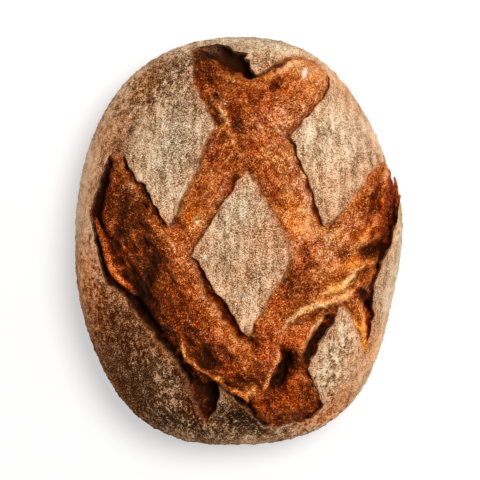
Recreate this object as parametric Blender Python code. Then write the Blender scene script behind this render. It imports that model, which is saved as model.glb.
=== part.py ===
"""A hearth-baked sourdough loaf: an oval, floured country loaf scored with four
crossing slashes, which opened in the oven and left a lozenge of skin at the top.

Blender 4.5.  Metres, +Z up.  The origin is the middle of the flat base, +Y runs
along the loaf and +X across it.

The loaf is one solid.  It is built as
  1. the floured outer crust, a dome whose plan is a slightly uneven superellipse,
  2. the four slashes, cut out of it as prisms that follow their crossing lines,
  3. the risen dough, an inner dome that lies a skin's thickness below the crust and
     swells up through the slashes, with its own hollows, folds and pits,
  4. the strands of torn crust (the "ears") that stand up in the cuts.
"""

import math

import bmesh
import bpy
from mathutils import Vector

# ------------------------------------------------------------------ driving sizes
HALF_WIDTH = 0.1045         # half of the loaf across, at its widest
HALF_LENGTH = 0.1313        # half of the loaf along
PLAN_POWER = 2.65           # superellipse power of the plan
HEIGHT = 0.096              # top of the dome over the base
WAIST = 0.034               # height of the widest section
TOP_POWERS = (2.3, 2.0)     # powers of the dome above the waist, across and up
FOOT_POWERS = (7.0, 3.0)    # the same for the foot below the waist
FOOT_DEPTH = 0.0365         # the foot's curve would close this far under the waist
SKIN = 0.0046               # thickness of the skin that the slashes went through
PROUD = 0.0066              # how far risen dough swells up from the edge of a slash
SWELL_WIDTH = 0.0110        # over how much of the slash's width it does so
LEAN = 0.0045               # the swell leans this far to -X, so cuts are deeper at +X
CLOSE_Z = (0.042, 0.058)    # the slashes run out to nothing between these heights

# The plan's unevenness: share of the radius added as cos(k a) and sin(k a).
PLAN_MEAN = 0.977
PLAN_WAVES = (
    (-0.013, -0.010),
    (0.001, -0.002),
    (0.006, 0.000),
    (0.026, 0.002),
    (0.005, 0.008),
    (0.002, 0.005),
)

# The four slashes, in millimetres: (x, y, half width) along each centre line.
SLASHES = {
    "slash_upper_left_to_right": (
        (-15.0, 113.5, 10.5), (-4.5, 88.5, 14.0), (8.0, 64.0, 14.5), (23.0, 37.0, 13.0),
        (37.5, 10.0, 12.0), (55.0, -17.0, 13.0), (70.5, -39.0, 6.5), (79.5, -61.0, 2.0),
    ),
    "slash_upper_right_to_left": (
        (50.5, 107.0, 9.5), (27.5, 88.0, 15.0), (4.5, 62.0, 13.0), (-10.0, 40.5, 12.0),
        (-24.0, 16.5, 12.0), (-36.5, -4.0, 12.5), (-55.0, -21.5, 14.0), (-73.0, -27.5, 6.0),
    ),
    "slash_lower_left_to_right": (
        (-80.5, 55.0, 2.5), (-75.0, 28.5, 11.5), (-67.5, 1.5, 20.5), (-50.0, -24.5, 22.5),
        (-29.0, -48.0, 21.0), (-5.5, -68.5, 17.5), (18.0, -90.0, 16.0), (37.0, -103.0, 12.5),
        (50.0, -110.0, 4.0),
    ),
    "slash_lower_right_to_left": (
        (103.5, 41.0, 6.0), (86.0, 18.0, 14.5), (64.0, -7.0, 17.5), (41.5, -30.5, 19.0),
        (22.0, -52.0, 17.0), (2.5, -72.5, 13.0), (-20.0, -91.0, 8.5), (-22.5, -113.0, 2.0),
    ),
}
SLASH_FLOOR_Z = 0.036       # the prisms that cut the slashes start here
SLASH_STEPS = 3             # outline points for each stretch of a slash

# Relief of the risen dough, in millimetres:
# (x, y, radius along, radius across, angle in degrees, height).
RISEN = (
    # the deep tear on the left, under the overhanging side crust
    (-79.0, 14.0, 26.0, 7.0, 78.0, -9.0),
    (-74.0, -12.0, 20.0, 9.0, -70.0, -8.0),
    (-62.0, -38.0, 15.0, 6.5, -48.0, -9.0),
    (-52.0, -52.0, 12.0, 5.0, -48.0, -5.0),
    # the pillow of dough beside it
    (-52.0, 6.0, 32.0, 9.0, -62.0, 2.5),
    (-36.0, -36.0, 26.0, 10.0, -44.0, 3.0),
    # upper bands
    (28.0, 88.0, 24.0, 10.0, 42.0, 2.5),
    (-7.0, 112.0, 9.0, 5.5, -32.0, -10.0),
    (-1.0, 78.0, 9.0, 4.0, 62.0, -3.0),
    (-22.0, 22.0, 28.0, 8.0, 58.0, 1.5),
    (31.0, 28.0, 24.0, 7.0, -62.0, 1.5),
    # right-hand lobe
    (66.0, 4.0, 30.0, 9.0, 48.0, 3.0),
    (84.0, 0.0, 10.0, 5.0, 50.0, -6.0),
    (98.0, 12.0, 22.0, 4.0, 84.0, -7.0),
    (84.5, -45.0, 18.0, 4.5, 88.0, -9.0),
    # lower crossing and its holes
    (-5.0, -66.0, 24.0, 11.0, 8.0, 4.0),
    (-19.0, -71.0, 9.0, 5.5, 0.0, -6.0),
    (29.0, -80.0, 12.0, 4.0, 68.0, -12.0),
    (52.0, -62.0, 22.0, 4.5, 58.0, -6.0),
    (-18.0, -95.0, 8.0, 4.5, 80.0, -9.0),
    (28.0, -101.0, 16.0, 8.0, -16.0, 2.0),
)

# Broad unevenness of the whole dome, the same six numbers.
DOME = (
    (-48.0, 52.0, 46.0, 30.0, 40.0, 1.2),
    (58.0, 48.0, 40.0, 26.0, -60.0, 1.0),
    (4.0, -2.0, 30.0, 22.0, 90.0, 1.0),
    (-62.0, -78.0, 36.0, 26.0, -50.0, -1.2),
    (66.0, -86.0, 34.0, 22.0, 50.0, 1.0),
    (-96.0, -30.0, 30.0, 12.0, 90.0, 1.0),
)

# Torn strands of crust, in millimetres: (x, y, height over the inner dome), and radius.
STRANDS = {
    "ear_left": (((-93.0, 15.0, 0.5), (-87.5, -4.0, 2.0), (-83.5, -17.0, 2.2), (-75.0, -27.0, 1.8),
                  (-64.0, -37.5, 0.5)), 1.9),
    "ear_bottom": (((-34.5, -63.0, 3.0), (-30.0, -76.0, 2.8), (-19.0, -84.0, 2.4), (-11.0, -87.0, 2.0),
                    (0.0, -96.0, 1.6), (5.0, -104.0, 0.2)), 1.8),
    "ear_right": (((72.0, -39.0, 0.5), (77.0, -50.0, 1.4), (80.5, -64.0, 0.2)), 1.9),
    "ear_long": (((77.0, -14.0, 1.0), (67.0, -24.0, 2.6), (56.5, -33.0, 2.8), (43.0, -39.5, 2.8),
                  (27.0, -53.0, 1.4)), 1.8),
}

OUTER_SEGMENTS = (72, 24)   # around and from pole to pole, of the outer dome
INNER_DETAIL = 6            # subdivisions of the inner dome's icosphere
INNER_CUT_Z = 0.028         # the inner dome is only needed above this height

MM = 0.001


# ------------------------------------------------------------------ the form
def plan_radius(angle):
    """Radius of the widest section towards this angle."""
    c, s = abs(math.cos(angle)) / HALF_WIDTH, abs(math.sin(angle)) / HALF_LENGTH
    base = (c**PLAN_POWER + s**PLAN_POWER) ** (-1.0 / PLAN_POWER)
    share = PLAN_MEAN
    for k, (on_cos, on_sin) in enumerate(PLAN_WAVES, 1):
        share += on_cos * math.cos(k * angle) + on_sin * math.sin(k * angle)
    return base * share


def dome_point(direction):
    """The point of the even dome that a unit sphere's point is moved to."""
    flat = math.hypot(direction.x, direction.y)
    angle = math.atan2(direction.y, direction.x)
    if direction.z >= 0:
        across, up = TOP_POWERS
        rho = flat ** (2 / across)
        z = WAIST + (HEIGHT - WAIST) * direction.z ** (2 / up)
    else:
        across, up = FOOT_POWERS
        rho = flat ** (2 / across)
        z = WAIST - FOOT_DEPTH * (-direction.z) ** (2 / up)
    r = rho * plan_radius(angle)
    return Vector((r * math.cos(angle), r * math.sin(angle), z))


def dome_normal(direction):
    """Outward normal of the dome there, from two nearby points."""
    side = direction.orthogonal().normalized()
    other = direction.cross(side)
    step = 0.02
    a = dome_point((direction + side * step).normalized()) - dome_point(
        (direction - side * step).normalized()
    )
    b = dome_point((direction + other * step).normalized()) - dome_point(
        (direction - other * step).normalized()
    )
    n = a.cross(b)
    return n.normalized() if n.length > 0 else direction.copy()


def humps(table, x, y):
    """Sum of the table's smooth humps and hollows at x, y, in metres."""
    total = 0.0
    for cx, cy, along, across, degrees, height in table:
        a = math.radians(degrees)
        dx, dy = x / MM - cx, y / MM - cy
        u = (dx * math.cos(a) + dy * math.sin(a)) / along
        v = (-dx * math.sin(a) + dy * math.cos(a)) / across
        q = u * u + v * v
        if q < 9:
            total += height * math.exp(-q)
    return total * MM


def smooth_points(points, steps):
    """Catmull-Rom points through the given tuples, all their numbers together."""
    padded = [points[0], *points, points[-1]]
    found = []
    for i in range(1, len(padded) - 2):
        p0, p1, p2, p3 = padded[i - 1 : i + 3]
        for k in range(steps):
            t = k / steps
            found.append(
                tuple(
                    0.5
                    * (
                        2 * b
                        + (c - a) * t
                        + (2 * a - 5 * b + 4 * c - d) * t**2
                        + (3 * b - a - 3 * c + d) * t**3
                    )
                    for a, b, c, d in zip(p0, p1, p2, p3)
                )
            )
    found.append(tuple(points[-1]))
    return found


FINE = {name: smooth_points(points, SLASH_STEPS) for name, points in SLASHES.items()}


def inside_slashes(x, y):
    """How far x, y is inside the widest slash there, in metres; negative outside."""
    x, y = x / MM, y / MM
    best = -1e9
    for points in FINE.values():
        for (ax, ay, aw), (bx, by, bw) in zip(points, points[1:]):
            ux, uy = bx - ax, by - ay
            t = ((x - ax) * ux + (y - ay) * uy) / (ux * ux + uy * uy)
            t = min(1.0, max(0.0, t))
            gap = math.hypot(x - ax - ux * t, y - ay - uy * t)
            best = max(best, aw + (bw - aw) * t - gap)
    return best * MM


def eased(share):
    """0 to 1 with flat ends."""
    share = min(1.0, max(0.0, share))
    return share * share * (3 - 2 * share)


def swell(p):
    """Height of the risen dough over the outer dome; negative is down in a slash."""
    risen = PROUD * eased(inside_slashes(p.x + LEAN, p.y) / SWELL_WIDTH)
    low, high = CLOSE_Z
    closed = 1 - eased((p.z - low) / (high - low))
    return (risen + humps(RISEN, p.x, p.y) - SKIN) * (1 - closed) - 0.0008 * closed


# ------------------------------------------------------------------ tools
def material(name, colour, roughness):
    made = bpy.data.materials.new(name)
    made.use_nodes = True
    shader = made.node_tree.nodes["Principled BSDF"]
    shader.inputs["Base Color"].default_value = (*colour, 1.0)
    shader.inputs["Roughness"].default_value = roughness
    shader.inputs["Metallic"].default_value = 0.0
    made.diffuse_color = (*colour, 1.0)
    return made


def new_object(name, mesh, collection):
    obj = bpy.data.objects.new(name, mesh)
    collection.objects.link(obj)
    return obj


def as_helper(obj):
    obj.hide_render = True
    obj.display_type = "WIRE"
    return obj


def ball(round_parts):
    """A unit sphere: an icosphere for one number, rings of segments for two."""
    bm = bmesh.new()
    if isinstance(round_parts, tuple):
        around, down = round_parts
        bmesh.ops.create_uvsphere(bm, u_segments=around, v_segments=down, radius=1.0)
    else:
        bmesh.ops.create_icosphere(bm, subdivisions=round_parts, radius=1.0)
    return bm


def dome(name, round_parts, lift, cut_z, collection):
    """A sphere moved onto the dome, lifted along the normal, cut flat at cut_z."""
    bm = ball(round_parts)
    for v in bm.verts:
        direction = v.co.normalized()
        p, n = dome_point(direction), dome_normal(direction)
        # the relief fades out towards the foot, so that the base stays flat and even
        fade = min(1.0, max(0.0, (p.z - 0.012) / 0.02))
        v.co = p + n * (humps(DOME, p.x, p.y) + lift(p)) * fade
    bmesh.ops.bisect_plane(
        bm,
        geom=bm.verts[:] + bm.edges[:] + bm.faces[:],
        plane_co=(0, 0, cut_z),
        plane_no=(0, 0, -1),
        clear_outer=True,
    )
    rim = [e for e in bm.edges if e.is_boundary]
    bmesh.ops.holes_fill(bm, edges=rim, sides=0)
    bmesh.ops.recalc_face_normals(bm, faces=bm.faces)
    mesh = bpy.data.meshes.new(name)
    bm.to_mesh(mesh)
    bm.free()
    mesh.shade_smooth()
    return new_object(name, mesh, collection)


def mesh_of_curve(curve_object, collection):
    """The curve as a welded mesh object of the same name; the curve is removed."""
    bpy.context.view_layer.update()
    graph = bpy.context.evaluated_depsgraph_get()
    mesh = bpy.data.meshes.new_from_object(curve_object.evaluated_get(graph))
    bm = bmesh.new()
    bm.from_mesh(mesh)
    bmesh.ops.remove_doubles(bm, verts=bm.verts, dist=0.00002)
    bmesh.ops.recalc_face_normals(bm, faces=bm.faces)
    bm.to_mesh(mesh)
    bm.free()
    name, place = curve_object.name, curve_object.matrix_world.copy()
    bpy.data.objects.remove(curve_object)
    made = new_object(name, mesh, collection)
    made.matrix_world = place
    return made


def slash_prism(name, points, number, collection):
    """A slash's outline, offset both ways from its centre line, as a tall prism."""
    left, right = [], []
    for i, (x, y, w) in enumerate(points):
        ax, ay, _ = points[max(i - 1, 0)]
        bx, by, _ = points[min(i + 1, len(points) - 1)]
        run = math.hypot(bx - ax, by - ay)
        nx, ny = -(by - ay) / run, (bx - ax) / run
        left.append(((x + nx * w) * MM, (y + ny * w) * MM))
        right.append(((x - nx * w) * MM, (y - ny * w) * MM))
    outline = left + right[::-1]
    curve = bpy.data.curves.new(name, "CURVE")
    curve.dimensions = "2D"
    curve.fill_mode = "BOTH"
    half = 0.050 + 0.0015 * number
    curve.extrude = half
    spline = curve.splines.new("POLY")
    spline.points.add(len(outline) - 1)
    for point, (x, y) in zip(spline.points, outline):
        point.co = (x, y, 0, 1)
    spline.use_cyclic_u = True
    made = new_object(name, curve, collection)
    made.location.z = SLASH_FLOOR_Z + half - 0.0011 * number
    return mesh_of_curve(made, collection)


def strand(name, points, radius, collection):
    """A torn strand: a round bar, thinner at its ends, that follows the inner dome."""
    curve = bpy.data.curves.new(name, "CURVE")
    curve.dimensions = "3D"
    curve.bevel_depth = radius * MM
    curve.bevel_resolution = 1
    curve.use_fill_caps = True
    spline = curve.splines.new("POLY")
    fine = smooth_points(points, 3)
    spline.points.add(len(fine) - 1)
    for i, (point, (x, y, up)) in enumerate(zip(spline.points, fine)):
        x, y = x * MM, y * MM
        angle = math.atan2(y, x)
        rho = min(math.hypot(x, y) / plan_radius(angle), 0.999)
        across, rise = TOP_POWERS
        z = WAIST + (HEIGHT - WAIST) * (1 - rho**across) ** (1 / rise)
        point.co = (x, y, z + (up - 3.0) * MM, 1)
        along = i / (len(fine) - 1)
        point.radius = 0.55 + 0.75 * math.sin(math.pi * along) ** 0.6
    made = new_object(name, curve, collection)
    return mesh_of_curve(made, collection)


def boolean(obj, other, operation):
    modifier = obj.modifiers.new(f"{operation.lower()}_{other.name}", "BOOLEAN")
    modifier.operation = operation
    modifier.solver = "EXACT"
    modifier.object = other
    return modifier


# ------------------------------------------------------------------ the loaf
def main():
    for obj in list(bpy.data.objects):
        bpy.data.objects.remove(obj)
    scene = bpy.context.scene
    scene.unit_settings.system = "METRIC"
    parts = bpy.data.collections.new("sourdough_loaf")
    cutters = bpy.data.collections.new("cutters")
    scene.collection.children.link(parts)
    scene.collection.children.link(cutters)

    crust = material("floured_crust", (0.52, 0.33, 0.19), 0.85)

    loaf = dome("loaf", OUTER_SEGMENTS, lambda p: 0.0, 0.0, parts)
    loaf.data.materials.append(crust)
    for number, (name, points) in enumerate(FINE.items()):
        boolean(loaf, as_helper(slash_prism(name, points, number, cutters)), "DIFFERENCE")
    risen_dough = as_helper(dome("risen_dough", INNER_DETAIL, swell, INNER_CUT_Z, cutters))
    for name, (points, radius) in STRANDS.items():
        boolean(risen_dough, as_helper(strand(name, points, radius, cutters)), "UNION")
    boolean(loaf, risen_dough, "UNION")


main()
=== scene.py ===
"""Looks of the sourdough loaf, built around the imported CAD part.

The loaf is made as one solid field on a fine grid and meshed: the dome of the CAD part,
a skin of floured crust about two millimetres thick with the opened slashes cut out of it,
the risen dough that fills them, with its folds, hollows and holes, and torn strands.
All lengths in the tables below are millimetres in the frame of the part.
"""

import math

import bpy
import numpy as np
import openvdb
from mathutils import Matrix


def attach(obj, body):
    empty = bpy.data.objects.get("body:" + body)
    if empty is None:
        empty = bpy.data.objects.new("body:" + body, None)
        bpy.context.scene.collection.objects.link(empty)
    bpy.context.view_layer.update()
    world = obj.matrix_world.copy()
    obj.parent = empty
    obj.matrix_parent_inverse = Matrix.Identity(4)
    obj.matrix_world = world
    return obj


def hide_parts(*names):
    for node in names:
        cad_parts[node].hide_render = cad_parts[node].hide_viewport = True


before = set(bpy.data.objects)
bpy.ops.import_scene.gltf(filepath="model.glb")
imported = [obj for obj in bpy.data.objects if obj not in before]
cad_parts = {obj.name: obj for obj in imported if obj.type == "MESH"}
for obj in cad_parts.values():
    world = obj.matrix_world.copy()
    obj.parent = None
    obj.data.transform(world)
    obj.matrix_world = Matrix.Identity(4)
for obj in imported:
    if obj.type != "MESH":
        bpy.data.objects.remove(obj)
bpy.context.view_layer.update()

# ------------------------------------------------------------------ sizes
STEP = 0.72                      # grid step
HALF_WIDTH, HALF_LENGTH = 104.5, 131.3
PLAN_POWER = 2.65
HEIGHT, WAIST = 96.0, 34.0
TOP_POWERS = (2.3, 2.0)
FOOT_POWERS = (7.0, 3.0)
FOOT_DEPTH = 36.5
PLAN_MEAN = 0.977
PLAN_WAVES = ((-0.013, -0.010), (0.001, -0.002), (0.006, 0.000),
              (0.026, 0.002), (0.005, 0.008), (0.002, 0.005))
SKIN = 2.3                       # thickness of the crust's skin
SHUT_Z = 45.0                    # no slash runs lower down the side than about this
FACES = 192000                   # triangles kept

# ------------------------------------------------------------------ outlines of the opened slashes
# clockwise, each run named for the flap of skin that it edges
OPENING = {
    "top flap": (
        (-31.4, 122.0), (-21.6, 123.6), (-11.4, 124.5), (-6.1, 122.6), (-3.2, 118.5), (5.5, 118.1),
        (3.3, 114.9), (6.9, 113.7), (7.6, 106.4), (10.5, 103.8), (16.9, 106.5),
        (22.8, 111.2), (29.4, 115.3), (35.3, 116.7), (41.3, 116.8),
    ),
    "right flap": (
        (49.0, 113.7), (54.4, 109.2), (57.4, 102.7), (57.1, 96.2), (53.3, 89.7),
        (47.8, 83.3), (42.3, 76.8), (37.2, 70.4), (32.0, 64.0), (35.2, 58.2),
        (36.8, 51.1), (39.2, 44.8), (42.8, 36.9), (45.4, 28.7), (47.7, 21.2),
        (50.4, 14.5), (52.5, 8.3), (56.9, 11.4), (62.2, 17.0), (68.7, 23.8),
        (74.8, 32.2), (80.2, 40.8), (86.7, 46.1), (91.5, 49.9),
    ),
    "over the side": (
        (97.4, 51.9), (106.4, 50.6), (111.6, 44.2), (111.6, 36.4), (104.5, 35.2),
    ),
    "right rim": (
        (102.4, 25.3), (99.6, 9.8), (96.4, -2.0), (89.8, -13.8), (87.6, -22.2),
        (84.6, -29.8), (83.7, -34.0), (84.7, -39.9), (84.1, -51.9), (81.6, -61.2),
        (79.9, -67.5),
    ),
    "lower right flap": (
        (76.2, -60.9), (72.5, -52.2), (67.2, -44.5), (62.9, -40.7), (61.7, -41.3),
        (61.3, -43.2), (58.7, -51.2), (52.4, -60.5), (47.2, -70.5), (42.4, -80.5),
        (47.2, -90.3), (50.4, -97.1), (53.3, -104.1), (51.1, -107.0), (46.2, -112.2),
        (42.6, -114.6), (31.6, -115.8), (20.7, -118.0),
    ),
    "bottom flap": (
        (15.6, -117.1), (9.1, -110.7), (3.3, -103.9), (-3.1, -98.6), (-8.1, -94.2),
        (-11.2, -90.7), (-12.1, -91.7), (-11.8, -98.8), (-15.3, -106.7), (-20.8, -115.5),
    ),
    "lower left flap": (
        (-24.8, -109.3), (-27.5, -101.7), (-32.4, -90.6), (-34.4, -84.5), (-39.8, -74.1),
        (-46.1, -68.5), (-51.7, -62.2), (-56.5, -55.9), (-62.1, -49.6), (-66.9, -43.3),
        (-70.1, -37.8), (-77.3, -29.6), (-83.2, -28.4),
    ),
    "left rim": (
        (-84.8, -21.9), (-88.5, -9.0), (-92.1, 5.5), (-93.9, 13.4), (-95.6, 18.3),
        (-93.2, 24.9), (-90.2, 33.7), (-86.1, 43.7), (-82.0, 52.3), (-80.6, 54.4),
    ),
    "left flap": (
        (-71.6, 53.4), (-68.6, 48.3), (-64.8, 38.9), (-58.2, 34.5), (-53.9, 25.2),
        (-48.8, 16.7), (-43.8, 8.2), (-41.0, 11.0), (-36.7, 23.7), (-31.0, 35.0),
        (-26.1, 43.5), (-22.6, 57.7), (-17.7, 66.7), (-14.8, 69.6), (-18.5, 77.6),
        (-24.3, 88.6), (-27.9, 97.5), (-29.4, 103.7), (-28.8, 109.8), (-29.7, 115.3),
    ),
}
LOZENGE = (
    (4.0, 42.4), (9.2, 35.4), (13.5, 27.6), (19.2, 19.1), (24.1, 10.7),
    (28.3, 1.5), (30.5, -6.9), (29.1, -17.5), (24.8, -25.3), (19.2, -33.8),
    (13.8, -43.7), (8.9, -52.7), (6.3, -59.2), (1.4, -55.1), (-3.3, -46.7),
    (-8.2, -38.7), (-15.9, -30.1), (-21.0, -19.7), (-24.3, -14.0), (-29.5, -9.1),
    (-24.6, -1.4), (-17.5, 10.0), (-11.9, 19.8), (-4.8, 29.8), (0.9, 38.2),
)

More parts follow.
